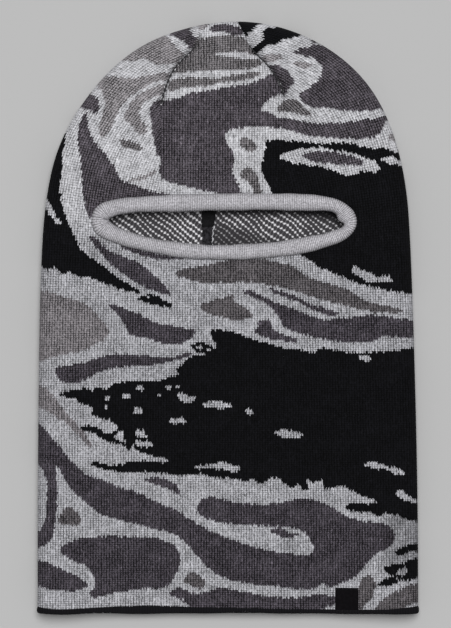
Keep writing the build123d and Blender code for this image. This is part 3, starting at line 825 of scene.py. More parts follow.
def make_trim(material):
    """The ribbed tube round the eye slot, pinched where its two ends meet at the left tip."""
    middle = trim_middle()
    length = lengths_along(closed_line(middle))[-1]
    rings = int(round(length / TRIM_RIB)) * TRIM_STEPS
    middle = evenly(middle, rings, closed=True)
    outer = closed_line(rounded(TRIM_OUTER))
    outward = distance_to(outer, middle)
    inward = distance_to(closed_line(rounded(TRIM_INNER)), middle)
    ahead = np.roll(middle, -1, axis=0) - np.roll(middle, 1, axis=0)
    ahead = unit(ahead)
    out = np.stack([-ahead[:, 1], ahead[:, 0]], axis=1)
    rib = TRIM_RIB_DEPTH * np.cos(np.arange(rings) * 2 * math.pi / TRIM_STEPS)
    place_along = np.arange(rings) * length / rings
    wobble = sum(size * np.sin(place_along * 2 * math.pi * count / length + phase)
                 for size, count, phase in TRIM_WAVES)
    from_join = middle - (TRIM_JOIN[0], TRIM_JOIN[1] - HEM_Y)
    near_join = bell(from_join[:, 1], PINCH_WIDTH) * (middle[:, 0] < TRIM_JOIN[0] + PINCH_REACH)
    half_height = (TRIM_TOP - TRIM_LOW) / 2 + TRIM_PROUD
    points = []
    for step in range(TRIM_AROUND):
        turn = step * 2 * math.pi / TRIM_AROUND
        width = outward if math.cos(turn) > 0 else inward
        reach = (width + rib * TRIM_RIB_SIDE + wobble) * math.cos(turn)
        pinch = 1 - near_join * (PINCH_LEAST + PINCH_DEPTH * max(0.0, -math.cos(turn)) ** 0.5)
        rise = (half_height + rib) * pinch * math.sin(turn)
        place = middle + out * reach[:, None]
        points.append(np.concatenate([place, (TRIM_LOW + half_height + rise)[:, None]], axis=1))
    points = np.stack(points, axis=1).reshape(-1, 3)
    piece = new_object("ribbed_eye_trim", points, swept_faces(rings, TRIM_AROUND, True),
                       [material])
    along = np.repeat(np.arange(rings) / TRIM_STEPS, TRIM_AROUND)
    around = np.tile(np.arange(TRIM_AROUND) / TRIM_AROUND, rings)
    # the third number is how high round the tube a point lies, which the material turns into painted shade
    # low down
    stitch = np.stack([along, around, np.sin(around * 2 * math.pi)], axis=1)
    give_stitch(piece, stitch)
    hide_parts("eye_trim")
    return piece


JOIN_POINTS = 40
JOIN_INSET = 1.4  # mm by which the thread ends inside its CAD node
JOIN_TURN = 0.25  # angle from the level at which it starts over the tube
JOIN_LIFT = 2.2  # mm from the tube's foot to the level that its arch rises from
JOIN_SUNK = 2.7  # mm by which it rises less than the tube is high
JOIN_ZIGZAG = 0.35  # mm to each side
JOIN_ZIGZAG_TURN = 1.3  # radians from one point to the next
JOIN_RADIUS = 0.22


def make_trim_join(material):
    """The thread that closes the trim's two ends together, lying in the pinch."""
    low, high = node_box("eye_trim_join_seam")
    middle_height = (low[1] + high[1]) / 2 - HEM_Y
    left, right = low[0] + JOIN_INSET, high[0] - JOIN_INSET
    turn = np.linspace(JOIN_TURN, math.pi - JOIN_TURN, JOIN_POINTS)
    x = (left + right) / 2 - (right - left) / 2 * np.cos(turn)
    z = TRIM_LOW + JOIN_LIFT + (TRIM_TOP - TRIM_LOW - JOIN_SUNK) * np.sin(turn)
    height = middle_height + JOIN_ZIGZAG * np.sin(np.arange(JOIN_POINTS) * JOIN_ZIGZAG_TURN)
    piece = thread_piece("trim_join_thread", np.stack([x, height, z], axis=1), JOIN_RADIUS,
                         material)
    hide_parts("eye_trim_join_seam")


HEM_RISE = 2.0  # how far the rolled edge stands up each face
HEM_OUT = 1.75  # how far it stands out from the middle of the knit
HEM_PROUD = 0.45  # how far it stands out further on the front
HEM_COLUMNS = 640  # steps round the neck opening
HEM_RIDGE = 0.13  # how far every second step stands out
HEM_LIFT = 0.6  # how far the whole edge sits above the hem line
HEM_WAVES = [(0.45, 19.0, 1.1), (0.3, 7.3, 0.0)]  # mm, mm to a radian and phase of its waves
HEM_DIP = 1.1  # how far the edge dips before each side fold
HEM_DIP_AT = 108.0
HEM_DIP_WIDTH = 14.0
HEM_SHARE_ABOVE, HEM_SHARE_BELOW = 0.2, 0.6  # of waves and dip, at the edge's top and foot
# Height of the rolled edge's top along the front, as x and height
HEM_FRONT_RISE = [(-126, 5.5), (-119, 3), (-110, 2.2), (-88, 2.8), (-75, 3.6), (-62, 4.8), (-53, 6),
                  (-41, 5), (-24, 4), (0, 3.2), (20, 3), (40, 2.3), (70, 1.8), (100, 1.8), (112, 3),
                  (120, 4), (126, 5)]
# The rolled edge in section, as distance outward and height, from its top on the outer face
HEM_PROFILE = [(1.35, HEM_RISE), (HEM_OUT, HEM_RISE * 0.75), (HEM_OUT + 0.1, 0.6), (1.5, -0.35),
               (0.8, -0.85), (0, -1.0), (-0.8, -0.85), (-1.35, -0.35), (-1.55, 0.6),
               (-1.52, HEM_RISE), (-1.3, HEM_RISE + 0.8), (0, HEM_RISE + 0.3)]


def hem_loop(steps):
    """The middle line of the knit round the neck opening, as x, z and the outward direction."""
    radius = MIDDLE - KNIT / 2
    right = CAD_HIGH[0] - MIDDLE
    turn = np.linspace(-math.pi / 2, math.pi / 2, 60)
    right_fold = np.stack([right + radius * np.cos(turn), MIDDLE + radius * np.sin(turn)], axis=1)
    left_fold = np.stack([-right - radius * np.cos(turn), MIDDLE - radius * np.sin(turn)], axis=1)
    line = evenly(np.concatenate([right_fold, left_fold]), steps, closed=True)
    line[:, 1] -= front_sag(np.stack([line[:, 0], np.zeros(steps), line[:, 1]], axis=1))
    ahead = np.roll(line, -1, axis=0) - np.roll(line, 1, axis=0)
    ahead = unit(ahead)
    return line, np.stack([ahead[:, 1], -ahead[:, 0]], axis=1)


def make_hem(material):
    """The black edge, rolled over the raw end of both layers."""
    line, out = hem_loop(HEM_COLUMNS)
    ridge = HEM_RIDGE * np.cos(np.arange(HEM_COLUMNS) * math.pi)
    waves = sum(size * np.sin(line[:, 0] / length + phase) for size, length, phase in HEM_WAVES)
    sway = waves - HEM_DIP * bell(np.abs(line[:, 0]) - HEM_DIP_AT, HEM_DIP_WIDTH)
    edge = rounded(HEM_FRONT_RISE, closed=False)
    front = smooth_step(line[:, 1], MIDDLE - 2, MIDDLE + 2)
    taller = (np.interp(line[:, 0], edge[:, 0], edge[:, 1]) / HEM_RISE - 1) * front
    points = []
    for reach, height in HEM_PROFILE:
        upper = reach > 0 and height > HEM_RISE / 2
        wall = reach + ridge * np.sign(reach) + HEM_PROUD * front * (reach > 0)
        place = line + out * wall[:, None]
        share = HEM_SHARE_ABOVE if upper else HEM_SHARE_BELOW
        level = height * (1 + taller * upper) + HEM_LIFT + sway * share
        points.append(np.stack([place[:, 0], level, place[:, 1]], axis=1))
    around = len(HEM_PROFILE)
    points = np.stack(points, axis=1).reshape(-1, 3)
    points[:, 2] += soft_waves(points) * np.repeat(front, around)
    piece = new_object("rolled_hem", points, swept_faces(HEM_COLUMNS, around, True),
                       [material])
    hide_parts("hem_band")
    return piece


RIBBON_ACROSS = 16  # points across a ribbon
RIBBON_THINNER = 0.25  # share of its thickness lost at its edges
RIBBON_SQUARE = 6  # how near its edges that happens


def ribbon(name, line, width, thickness, material, body="balaclava", rib=0.0):
    """A woven ribbon along a line of (x, height, z) on its underside's middle, ends capped."""
    line = np.asarray(line, float)
    half_width = np.broadcast_to(width, len(line))[:, None] / 2
    ahead = np.gradient(line, axis=0)
    ahead = unit(ahead)
    side = np.array([1.0, 0.0, 0.0]) * np.ones((len(line), 1))
    up = np.cross(side, ahead)
    share = np.linspace(-1, 1, RIBBON_ACROSS)
    bulge = thickness * (1 - RIBBON_THINNER * np.abs(share) ** RIBBON_SQUARE)
    profile = list(zip(share, bulge)) + [(reach, 0.0) for reach in share[::-1]]
    ripple = rib * np.cos(np.arange(len(line)) * math.pi)
    points = []
    for reach, rise in profile:
        lifted = rise + ripple * (rise > 0)
        points.append(line + side * reach * half_width + up * lifted[:, None])
    points = np.stack(points, axis=1).reshape(-1, 3)
    points[:, 2] -= front_sag(points)
    return new_object(name, points, swept_faces(len(line), len(profile), False), [material],
                      body)


def straight_line(x, heights, z):
    """A line up the garment at x, at the level z, which may change along it."""
    return np.stack([x * np.ones_like(heights), heights, z * np.ones_like(heights)], axis=1)


TAPE_STEP = 0.8  # mm from a cross rib of the tape to the next furrow
TAPE_RIB = 0.04  # how far its ribs stand up and its furrows go down
TAPE_SWAY = 0.25  # mm by which it wanders to each side
TAPE_SWAY_LENGTH = 17.0  # mm to one radian of that


def make_tape(material):
    """The woven tape that covers the back seam inside."""
    low, high = node_box("back_seam_tape")
    heights = np.arange(low[1] - HEM_Y, high[1] - HEM_Y, TAPE_STEP)
    sway = TAPE_SWAY * np.sin(heights / TAPE_SWAY_LENGTH)
    piece = ribbon("seam_tape", straight_line((low[0] + high[0]) / 2 + sway, heights, low[2]),
                   high[0] - low[0], high[2] - low[2], material, rib=TAPE_RIB)
    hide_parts("back_seam_tape")
    return piece


OVERLOCK_STEP = 0.35  # mm between points of the overlock thread
OVERLOCK_COIL = 0.35  # how far it winds to each side
OVERLOCK_TURN = 1.6  # radians of winding to a mm
OVERLOCK_BESIDE = 0.3  # mm from the tape's edge
OVERLOCK_ABOVE = 0.5  # mm above the inside of the back
OVERLOCK_DRIFT = 1.6  # how far it moves away from the tape, higher up
OVERLOCK_DRIFT_ALONG = (238.0, 258.0)  # heights between which it does
OVERLOCK_RADIUS = 0.27
OVERLOCK_KNOTS = 7.9  # mm from one knot to the next
KNOT_RADIUS = 0.45  # how much thicker a knot is
KNOT_LENGTH = 0.8


def make_overlock(material):
    """The light thread that edges the seam beside the tape, knotted along it, in place of the stitches
    through the tape.
    """
    low, high = node_box("back_tape_stitches")
    heights = np.arange(low[1] - HEM_Y, high[1] - HEM_Y, OVERLOCK_STEP)
    drift = OVERLOCK_DRIFT * smooth_step(heights, *OVERLOCK_DRIFT_ALONG)
    tape_edge = node_box("back_seam_tape")[1][0]
    x = tape_edge + OVERLOCK_BESIDE + drift + OVERLOCK_COIL * np.sin(heights * OVERLOCK_TURN)
    z = BACK_INSIDE + OVERLOCK_ABOVE + OVERLOCK_COIL * np.cos(heights * OVERLOCK_TURN)
    knots = bell(heights % OVERLOCK_KNOTS - OVERLOCK_KNOTS / 2, KNOT_LENGTH)
    radius = OVERLOCK_RADIUS + KNOT_RADIUS * knots
    piece = thread_piece("seam_overlock", np.stack([x, heights, z], axis=1), radius, material)
    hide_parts("back_tape_stitches")


CARE_TAPER = 2.0  # how much narrower the care label's free end is
CARE_TAPER_ALONG = (243.0, 257.0)  # heights between which it widens
CARE_CURL = 0.12  # how far its free end lifts
CARE_RIB = 0.02


def label_rows(low, high, count):
    """Heights up a label's box, and how far up it each one is, from 0 to 1."""
    heights = np.linspace(low[1] - HEM_Y, high[1] - HEM_Y, count)
    return heights, (heights - heights[0]) / (heights[-1] - heights[0])


def make_care_label(material):
    """The blank folded label whose lower end hangs free over the tape."""
    low, high = node_box("care_label")
    heights, share = label_rows(low, high, 60)
    curl = CARE_CURL * (1 - share) ** 2
    width = high[0] - low[0] - CARE_TAPER * (1 - smooth_step(heights, *CARE_TAPER_ALONG))
    piece = ribbon("care_label_leaf", straight_line(low[0] + width / 2, heights, low[2] + curl),
                   width, high[2] - low[2] - CARE_CURL, material,
                   body="care_label", rib=CARE_RIB)
    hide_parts("care_label")
    return piece


HEM_LABEL_ABOVE = 0.05  # mm between the label's ends and the knit
HEM_LABEL_BOW = 0.25  # how far its middle bows up
HEM_LABEL_RIB = 0.015


def make_hem_label(material):
    """The blank satin label folded over at its top and caught in the hem."""
    low, high = node_box("hem_label")
    heights, share = label_rows(low, high, 70)
    rise = low[2] + HEM_LABEL_ABOVE + HEM_LABEL_BOW * np.sin(share * math.pi) ** 2
    line = straight_line((low[0] + high[0]) / 2, heights, rise)
    piece = ribbon("folded_hem_label", line, high[0] - low[0], high[2] - low[2], material,
                   rib=HEM_LABEL_RIB)
    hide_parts("hem_label")
    return piece


STITCH_POINTS = 7  # along each separate stitch
STITCH_BOW = 0.8  # how far its ends go down into the cloth, in radii
STITCH_PROUD = 0.1  # mm that the hem's stitches stand out of the inner faces
HEM_STITCH = 2.4  # length of one stitch in the hem
HEM_STITCHES = 27  # in a row across the garment
HEM_THREAD = 0.28  # its radius
LABEL_STITCH = 1.5  # length of one stitch in the hem label
LABEL_STITCHES = 5  # in a row across it
LABEL_THREAD = 0.16
LABEL_STITCH_INSET = 0.2  # mm from a row to the end of its CAD node
LABEL_STITCH_LEVEL = 0.3  # mm above the foot of that node


def stitches_piece(name, places, length, radius, material):
    """Separate short stitches across the garment, each bowed up from the cloth at its place."""
    points, faces = [], []
    share = np.linspace(-1, 1, STITCH_POINTS)
    one_stitch = swept_faces(STITCH_POINTS, THREAD_AROUND, False)
    for x, height, z in places:
        level = z - STITCH_BOW * radius * share ** 2
        line = np.stack([x + share * length / 2, np.full(STITCH_POINTS, height), level], axis=1)
        first = len(points) * STITCH_POINTS * THREAD_AROUND
        faces += [[corner + first for corner in face] for face in one_stitch]
        points.append(thread_points(line, radius))
    points = np.concatenate(points)
    points[:, 2] -= front_sag(points)
    return new_object(name, points, faces, [material])


def make_hem_stitches(material):
    """The stitches that hold the rolled hem, on the inner faces of both layers."""
    low, high = node_box("hem_stitching")
    height = (low[1] + high[1]) / 2 - HEM_Y
    tape_low, tape_high = node_box("back_seam_tape")
    across = np.linspace(low[0] + HEM_STITCH / 2, high[0] - HEM_STITCH / 2, HEM_STITCHES)
    places = [(x, height, FRONT_TOP - KNIT - STITCH_PROUD) for x in across]
    places += [(x, height, KNIT + STITCH_PROUD) for x in across
               if not tape_low[0] - HEM_STITCH < x < tape_high[0] + HEM_STITCH]
    piece = stitches_piece("hem_stitches", places, HEM_STITCH, HEM_THREAD, material)
    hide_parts("hem_stitching")


def make_hem_label_stitches(material):
    """The stitches along the top and the foot of the hem label."""
    low, high = node_box("hem_label_stitches")
    across = np.linspace(low[0] + LABEL_STITCH / 2, high[0] - LABEL_STITCH / 2, LABEL_STITCHES)
    rows = (low[1] - HEM_Y + LABEL_STITCH_INSET, high[1] - HEM_Y - LABEL_STITCH_INSET)
    places = [(x, height, low[2] + LABEL_STITCH_LEVEL) for height in rows for x in across]
    piece = stitches_piece("hem_label_threads", places, LABEL_STITCH, LABEL_THREAD, material)
    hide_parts("hem_label_stitches")


DART_START = 1.4  # mm from a dart's foot to the start of its thread
DART_STEP = 0.35  # mm between points of the thread
DART_ZIGZAG = 0.15  # mm to each side
DART_ZIGZAG_TURN = 2.4  # radians to a mm
DART_SUNK = 2.4  # how deep below the front's top the thread lies
BACK_DART_LEVEL = 1.0  # z of the threads in the back
DART_RADIUS = 0.42  # at its foot
DART_THINNER = 0.2  # how much less that is at its top


def make_dart_threads(material):
    """The closing thread at the bottom of each dart's groove."""
    darts = {"front_left_dart": (FRONT_LEFT_DART, 1), "front_right_dart": (FRONT_RIGHT_DART, 1),
             "back_left_dart": (BACK_LEFT_DART, -1), "back_right_dart": (BACK_RIGHT_DART, -1)}
    for node, (corners, side) in darts.items():
        line = rounded(corners, closed=False)
        line = line[line[:, 1] < LENGTH - MIDDLE]
        total = lengths_along(line)[-1]
        along = np.arange(DART_START, total, DART_STEP)
        path = point_at(line, along)
        ahead = unit(np.gradient(path, axis=0))
        zigzag = DART_ZIGZAG * np.sin(along * DART_ZIGZAG_TURN)
        path = path + np.stack([-ahead[:, 1], ahead[:, 0]], axis=1) * zigzag[:, None]
        level = FRONT_TOP - DART_SUNK if side > 0 else BACK_DART_LEVEL
        path = np.concatenate([path, np.full((len(path), 1), level)], axis=1)
        radius = DART_RADIUS - DART_THINNER * along / total
        piece = thread_piece(node + "_thread", path, radius, material)
        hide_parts(node + "_seam")


# ------------------------------------------------------------------ materials

class Nodes:
    """Short words for building a node material."""

    def __init__(self, name):
        self.material = bpy.data.materials.new(name)
        self.material.use_nodes = True
        self.tree = self.material.node_tree
        self.shader = self.tree.nodes["Principled BSDF"]

    def add(self, kind, **settings):
        """A new node."""
        node = self.tree.nodes.new(kind)
        for key, value in settings.items():
            setattr(node, key, value)
        return node

    def link(self, source, target):
        """A link from an output to an input."""
        self.tree.links.new(source, target)

    def give(self, socket, value):
        """Links a socket to an input, or sets the input to a number or colour."""
        if isinstance(value, bpy.types.NodeSocket):
            self.link(value, socket)
        else:
            socket.default_value = value

    def math(self, operation, first, second=0.0, third=0.0):
        """A sum on sockets or numbers."""
        node = self.add("ShaderNodeMath", operation=operation)
        for socket, value in zip(node.inputs, (first, second, third)):
            self.give(socket, value)
        return node.outputs[0]

    def remap(self, value, low, high, to_low, to_high):
        """The range from low to high, taken to another one and held at its ends."""
        node = self.add("ShaderNodeMapRange")
        self.link(value, node.inputs["Value"])
        for name, number in zip(("From Min", "From Max", "To Min", "To Max"),
                                (low, high, to_low, to_high)):
            node.inputs[name].default_value = number
        return node.outputs["Result"]

    def noise(self, scale, detail=2.0, vector=None):
        """Soft noise, in the piece's own space unless a vector is given."""
        node = self.add("ShaderNodeTexNoise")
        node.inputs["Scale"].default_value = scale
        node.inputs["Detail"].default_value = detail
        if vector is None:
            vector = self.add("ShaderNodeTexCoord").outputs["Object"]
        self.link(vector, node.inputs["Vector"])
        return node.outputs["Fac"]

    def stitch(self):
        """The piece's own three numbers for this place: on knit, its column and row of stitches."""
        node = self.add("ShaderNodeAttribute", attribute_name="stitch")
        split = self.add("ShaderNodeSeparateXYZ")
        self.link(node.outputs["Vector"], split.inputs[0])
        return split.outputs[0], split.outputs[1], split.outputs[2]

    def place(self):
        """Where on the garment this is, as x, y and z in metres."""
        split = self.add("ShaderNodeSeparateXYZ")
        self.link(self.add("ShaderNodeTexCoord").outputs["Object"], split.inputs[0])
        return split.outputs[0], split.outputs[1], split.outputs[2]

    def unevenly(self, shade, *noises):
        """A shade, made brighter and darker by each noise by its share."""
        for noise, amount in noises:
            factor = self.remap(noise, 0.3, 0.7, 1 - amount, 1 + amount)
            shade = self.math("MULTIPLY", shade, factor)
        return shade

    def tint(self, colour, factor):
        """A colour, or a colour socket, made brighter or darker by a factor."""
        node = self.add("ShaderNodeVectorMath", operation="SCALE")
        self.give(node.inputs[0], colour)
        self.link(factor, node.inputs["Scale"])
        return node.outputs["Vector"]

    def blend(self, factor, first, second):
        """A colour that goes from the first to the second as the factor goes from 0 to 1."""
        node = self.add("ShaderNodeMix", data_type="RGBA")
        self.link(factor, node.inputs["Factor"])
        self.give(node.inputs[6], (*first, 1.0))
        self.give(node.inputs[7], (*second, 1.0))
        return node.outputs[2]

    def bump(self, height, distance, strength=1.0):
        """Relief of a height, distance metres deep."""
        node = self.add("ShaderNodeBump")
        node.inputs["Distance"].default_value = distance
        node.inputs["Strength"].default_value = strength
        self.link(height, node.inputs["Height"])
        self.link(node.outputs["Normal"], self.shader.inputs["Normal"])

    def finish(self, colour, roughness, specular):
        """The material, with its colour and its gloss."""
        self.link(colour, self.shader.inputs["Base Color"])
        self.give(self.shader.inputs["Roughness"], roughness)
        self.shader.inputs["Specular IOR Level"].default_value = specular
        return self.material


def wave(nodes, value, sharp=1.0):
    """0 at whole numbers and 1 half-way between them."""
    turn = nodes.math("MULTIPLY", nodes.math("FRACT", value), math.pi)
    return nodes.math("POWER", nodes.math("SINE", turn), sharp)


def knit_material():
    """Columns of V-shaped stitches in the colour of each stitch's yarn, with painted shade in the gaps
    between stitches and painted light on the loops.
    """
    nodes = Nodes("jacquard_knit")
    column, row, _ = nodes.stitch()
    middle = wave(nodes, column)
    between = nodes.math("SUBTRACT", 1.0, middle)
    loop = wave(nodes, row)
    loop_end = nodes.math("SUBTRACT", 1.0, loop)
    side_gap = nodes.math("MULTIPLY", between, nodes.math("MULTIPLY_ADD", loop, 0.75, 0.5))
    inner_gap = nodes.math("MULTIPLY", nodes.math("POWER", middle, 9.0), loop_end)
    gap = nodes.math("MULTIPLY_ADD", inner_gap, 1.0, side_gap)
    fuzz = nodes.noise(2600.0, 3.0)
    cloud = nodes.noise(60.0, 2.0)
    along = nodes.add("ShaderNodeCombineXYZ")
    nodes.link(column, along.inputs[0])
    nodes.link(nodes.math("MULTIPLY", row, 0.12), along.inputs[1])
    streak = nodes.noise(1.7, 1.0, along.outputs[0])
    tightness = nodes.remap(nodes.noise(90.0, 1.0), 0.35, 0.65, 0.85, 1.3)
    pepper = nodes.remap(nodes.noise(900.0, 1.0), 0.35, 0.65, 0.55, 1.5)
    gap = nodes.math("MULTIPLY", gap, nodes.math("MULTIPLY", tightness, pepper))
    yarn = nodes.add("ShaderNodeAttribute", attribute_name="yarn")
    # painted shade in the gaps and painted light on the loops, from the same heights as the bump
    shade = nodes.remap(gap, 0.0, 0.85, 1.34, 0.14)
    shade = nodes.math("POWER", shade, yarn.outputs["Alpha"])
    shade = nodes.unevenly(shade, (fuzz, 0.2), (cloud, 0.05), (streak, 0.2))
    height = nodes.math("SUBTRACT", 1.0, gap)
    relief = nodes.math("MULTIPLY_ADD", fuzz, 0.25, height)
    nodes.bump(relief, 0.0003, 0.7)
    roughness = nodes.remap(fuzz, 0.3, 0.7, 0.86, 1.0)
    return nodes.finish(nodes.tint(yarn.outputs["Color"], shade), roughness, 0.12)


INSIDE_WALE = 0.00175  # metres between columns of the inside
INSIDE_COURSE = 0.00142  # metres between its rows


def birdseye_material():
    """The inside of the jacquard: in each row every third stitch is light, one further along in
    the next row, so that the light stitches run into slanting lines."""
    nodes = Nodes("birdseye_inside")
    x, y, _ = nodes.place()
    waver = nodes.math("MULTIPLY", nodes.noise(60.0, 1.0), 0.004)
    waver = nodes.math("MULTIPLY_ADD", nodes.noise(420.0, 1.0), 0.0012, waver)
    column = nodes.math("DIVIDE", nodes.math("ADD", x, waver), INSIDE_WALE)
    row = nodes.math("DIVIDE", nodes.math("ADD", y, waver), INSIDE_COURSE)
    lattice, links = 0.0, 0.0
    for column_share, row_share, weight, link in ((1, 1, 0.60, 0.38), (2, -1, 0.22, 0.18),
                                                  (1, -2, 0.18, 0.0)):
        phase = nodes.math("MULTIPLY_ADD", column, float(column_share),
                           nodes.math("MULTIPLY", row, float(row_share)))
        crest = nodes.math("COSINE", nodes.math("MULTIPLY", phase, 2 * math.pi / 3))
        lattice = nodes.math("MULTIPLY_ADD", crest, weight, lattice)
        line = nodes.math("POWER", nodes.math("MAXIMUM", crest, 0.0), 5.0)
        links = nodes.math("MULTIPLY_ADD", line, link, links)
    fuzz = nodes.noise(2400.0, 2.0)
    patchy = nodes.noise(45.0, 1.0)
    edge = nodes.math("ADD", lattice, nodes.remap(patchy, 0.3, 0.7, -0.14, 0.16))
    edge = nodes.math("ADD", edge, nodes.remap(fuzz, 0.3, 0.7, -0.25, 0.25))
    dot = nodes.remap(edge, -0.1, 0.75, 0.0, 1.0)
    lit = nodes.math("ADD", nodes.math("POWER", dot, 2.4),
                     nodes.math("MULTIPLY", links, nodes.remap(patchy, 0.35, 0.65, 0.1, 1.0)))
    # the inner faces' colour carries the painted darkening inside the slot; it dims the light stitches and,
    # more softly, the whole colour
    own = nodes.add("ShaderNodeAttribute", attribute_name="yarn")
    lit = nodes.math("MULTIPLY", lit, own.outputs["Fac"])
    colour = nodes.blend(lit, (0.052, 0.049, 0.054), (0.88, 0.87, 0.90))
    nodes.bump(nodes.math("MULTIPLY_ADD", fuzz, 0.3, dot), 0.0006, 0.8)
    dim = nodes.math("POWER", own.outputs["Fac"], 0.4)
    return nodes.finish(nodes.tint(colour, dim), 0.95, 0.12)


# Painted shade: the tube's colour is darkened on its sides and underside, as if shaded in its groove.
TRIM_PAINTED_FLANK_SHADE = 0.6  # share of its light that the tube keeps down in its groove


def trim_material():
    """Fine ribs of light grey yarn round the tube, with painted shade in the rib troughs and on the tube's
    sides and underside, and painted light on the rib crests.
    """
    nodes = Nodes("ribbed_trim")
    along, around, crest = nodes.stitch()
    rib = wave(nodes, nodes.math("ADD", along, 0.5), 0.5)
    loops = wave(nodes, nodes.math("MULTIPLY", around, 16.0), 0.5)
    fuzz = nodes.noise(2600.0, 3.0)
    height = nodes.math("MULTIPLY_ADD", loops, 0.14, rib)
    # painted shade in the troughs between ribs and painted light on their crests
    shade = nodes.remap(height, 0.1, 1.12, 0.18, 1.22)
    shade = nodes.unevenly(shade, (fuzz, 0.2), (nodes.noise(1000.0, 1.0), 0.3),
                           (nodes.noise(130.0, 1.0), 0.06))
    # painted shade on the tube's sides and underside
    painted_flank_shade = nodes.remap(crest, 0.1, 0.95, TRIM_PAINTED_FLANK_SHADE, 1.0)
    shade = nodes.math("MULTIPLY", shade, painted_flank_shade)
    nodes.bump(nodes.math("MULTIPLY_ADD", fuzz, 0.5, height), 0.00025, 0.8)
    return nodes.finish(nodes.tint((0.47, 0.46, 0.488), shade), 0.93, 0.12)


def hem_material():
    """Black knit, ribbed across the edge, with painted light on the ribs and painted shade between them."""
    nodes = Nodes("black_edge_knit")
    fuzz = nodes.noise(2200.0, 3.0)
    x, _, _ = nodes.place()
    rib = wave(nodes, nodes.math("MULTIPLY", x, 1000 / WALE), 0.7)
    shade = nodes.math("MULTIPLY_ADD", rib, 0.8, fuzz)
    nodes.bump(shade, 0.0003, 0.7)
    # painted light on the ribs and painted shade between them, from the same height as the bump
    colour = nodes.tint((0.0052, 0.005, 0.0062), nodes.remap(shade, 0.3, 1.4, 0.6, 1.5))
    return nodes.finish(colour, 0.95, 0.12)


def woven_material(name, colour, pitch, roughness, specular, coarse=1.0, painted_glint_share=0.2):
    """A narrow-woven ribbon: fine cross ribs, with warp threads along it, painted light and shade on the
    weave and painted glints.
    """
    nodes = Nodes(name)
    x, y, _ = nodes.place()
    weft = wave(nodes, nodes.math("MULTIPLY", y, 1000 / pitch), 0.8)
    warp = wave(nodes, nodes.math("MULTIPLY", x, 1400 / pitch), 0.8)
    fuzz = nodes.noise(3000.0, 2.0)
    height = nodes.math("MULTIPLY_ADD", warp, 0.5, weft)
    # painted light on the weave's crests and painted shade between them
    shade = nodes.remap(height, 0.2, 1.4, 0.7, 1.25)
    shade = nodes.math("MULTIPLY", shade, nodes.remap(fuzz, 0.3, 0.7, 0.85, 1.15))
    # painted glints: noise flecks made lighter and darker
    glint = nodes.remap(nodes.noise(700.0, 1.0), 0.35, 0.65, 1 - painted_glint_share, 1 + painted_glint_share)
    shade = nodes.math("MULTIPLY", shade, glint)
    nodes.bump(nodes.math("MULTIPLY_ADD", fuzz, 0.3, height), 0.00012 * coarse, 0.6)
    return nodes.finish(nodes.tint(colour, shade), roughness, specular)


def thread_material(name, colour):
    """Twisted sewing thread, with painted light and shade along its twist."""
    nodes = Nodes(name)
    wave_node = nodes.add("ShaderNodeTexWave", bands_direction="DIAGONAL")
    wave_node.inputs["Scale"].default_value = 900.0
    wave_node.inputs["Distortion"].default_value = 1.5
    nodes.link(nodes.add("ShaderNodeTexCoord").outputs["Object"], wave_node.inputs["Vector"])
    twist = wave_node.outputs["Fac"]
    nodes.bump(twist, 0.0001, 0.8)
    # painted light and shade along the twist, from the same bands as the bump
    shade = nodes.remap(twist, 0.0, 1.0, 0.65, 1.2)
    return nodes.finish(nodes.tint(colour, shade), 0.7, 0.25)


def floor_material():
    """A plain pale matt floor with a hardly seen unevenness."""
    nodes = Nodes("pale_floor")
    shade = nodes.remap(nodes.noise(6.0, 2.0), 0.3, 0.7, 0.995, 1.005)
    return nodes.finish(nodes.tint((0.51, 0.51, 0.51), shade), 1.0, 0.0)


# ------------------------------------------------------------------ room

CAMERA_HEIGHT = 2.5  # metres above the floor
VIEW_HEIGHT = 0.4038  # metres of the garment's level that the image is high
VIEW_CENTRE = (-0.0016, 0.0021)  # of the image, from the frame's origin
SKY = 0.34  # share of the light that comes evenly from all round
LAMP_TILT = math.radians(17)  # of the large soft lamp, towards the crown
LAMP_LEAN = math.radians(3.5)  # of the lamp, to one side
LAMP_SPREAD = math.radians(35)  # how large it is, seen from the garment
FLOOR_SIZE = 6.0  # metres
FLOOR_DROP = 0.0002  # metres that the floor is below the garment


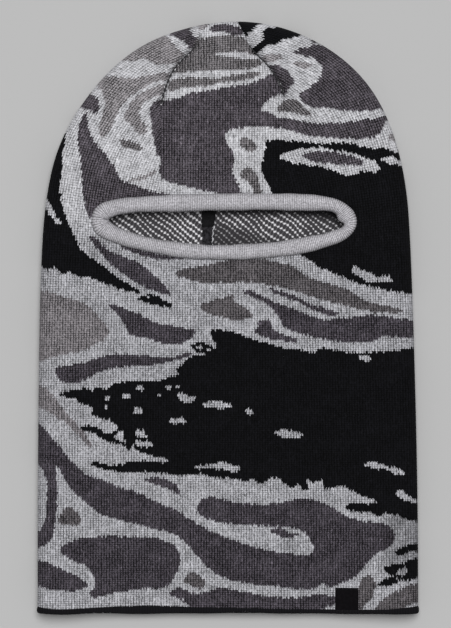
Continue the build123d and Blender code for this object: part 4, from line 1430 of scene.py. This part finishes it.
def make_room():
    """The plain floor, the even light of the sky and one large soft lamp."""
    bpy.ops.mesh.primitive_plane_add(size=FLOOR_SIZE)
    floor = bpy.context.object
    floor.name = "floor"
    floor.location.z = -FLOOR_DROP
    floor.data.materials.append(floor_material())
    world = bpy.context.scene.world or bpy.data.worlds.new("world")
    bpy.context.scene.world = world
    world.use_nodes = True
    world.node_tree.nodes["Background"].inputs["Color"].default_value = (1, 1, 1, 1)
    world.node_tree.nodes["Background"].inputs["Strength"].default_value = SKY
    lamp = bpy.data.lights.new("soft_lamp", "SUN")
    lamp.energy = (1 - SKY) * math.pi / math.cos(LAMP_TILT)
    lamp.angle = LAMP_SPREAD
    lamp_object = bpy.data.objects.new("soft_lamp", lamp)
    lamp_object.rotation_euler = (-LAMP_TILT, LAMP_LEAN, 0)
    bpy.context.scene.collection.objects.link(lamp_object)


def make_camera():
    """The camera, straight above the garment."""
    camera = bpy.data.cameras.new("camera")
    distance = CAMERA_HEIGHT - FRONT_TOP / 1000
    camera.lens = camera.sensor_width * distance / VIEW_HEIGHT
    camera_object = bpy.data.objects.new("camera", camera)
    camera_object.location = (*VIEW_CENTRE, CAMERA_HEIGHT)
    bpy.context.scene.collection.objects.link(camera_object)
    bpy.context.scene.camera = camera_object
    bpy.context.scene.view_settings.view_transform = "Standard"


def give_material(nodes, material):
    """A carried-over CAD node takes a new material in its own slots."""
    for node in nodes:
        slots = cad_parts[node].material_slots
        for material_slot in slots:
            material_slot.material = material
        if not slots:
            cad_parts[node].data.materials.append(material)


def main():
    make_room()
    make_camera()
    layers = [knit_material(), birdseye_material()]
    woven_black = woven_material("woven_label_satin", (0.0042, 0.0036, 0.0045), 0.45, 0.75, 0.04)
    care_black = woven_material("care_label_taffeta", (0.0052, 0.0050, 0.0060), 0.45, 0.6, 0.1,
                                painted_glint_share=0.35)
    tape = woven_material("herringbone_tape", (0.018, 0.017, 0.020), 0.9, 0.85, 0.2, 2.0, 0.65)
    grey_thread = thread_material("grey_thread", (0.66, 0.66, 0.69))
    dart_thread = thread_material("dart_thread", (0.03, 0.03, 0.033))
    black_thread = thread_material("black_thread", (0.008, 0.008, 0.009))
    front = make_front(layers)
    backs = [make_back(-1, "back_knit_left", "back_left_panel", layers),
             make_back(1, "back_knit_right", "back_right_panel", layers)]
    trim = make_trim(trim_material())
    make_trim_join(grey_thread)
    hem = make_hem(hem_material())
    make_tape(tape)
    make_overlock(grey_thread)
    make_care_label(care_black)
    hem_label = make_hem_label(woven_black)
    make_hem_stitches(black_thread)
    make_hem_label_stitches(black_thread)
    make_dart_threads(dart_thread)
    give_material(["eye_trim_linking"], grey_thread)
    give_material(["back_seam_thread", "care_label_stitches"], black_thread)
    give_material(["care_label_sewn_edge"], care_black)
    bpy.context.view_layer.update()


main()
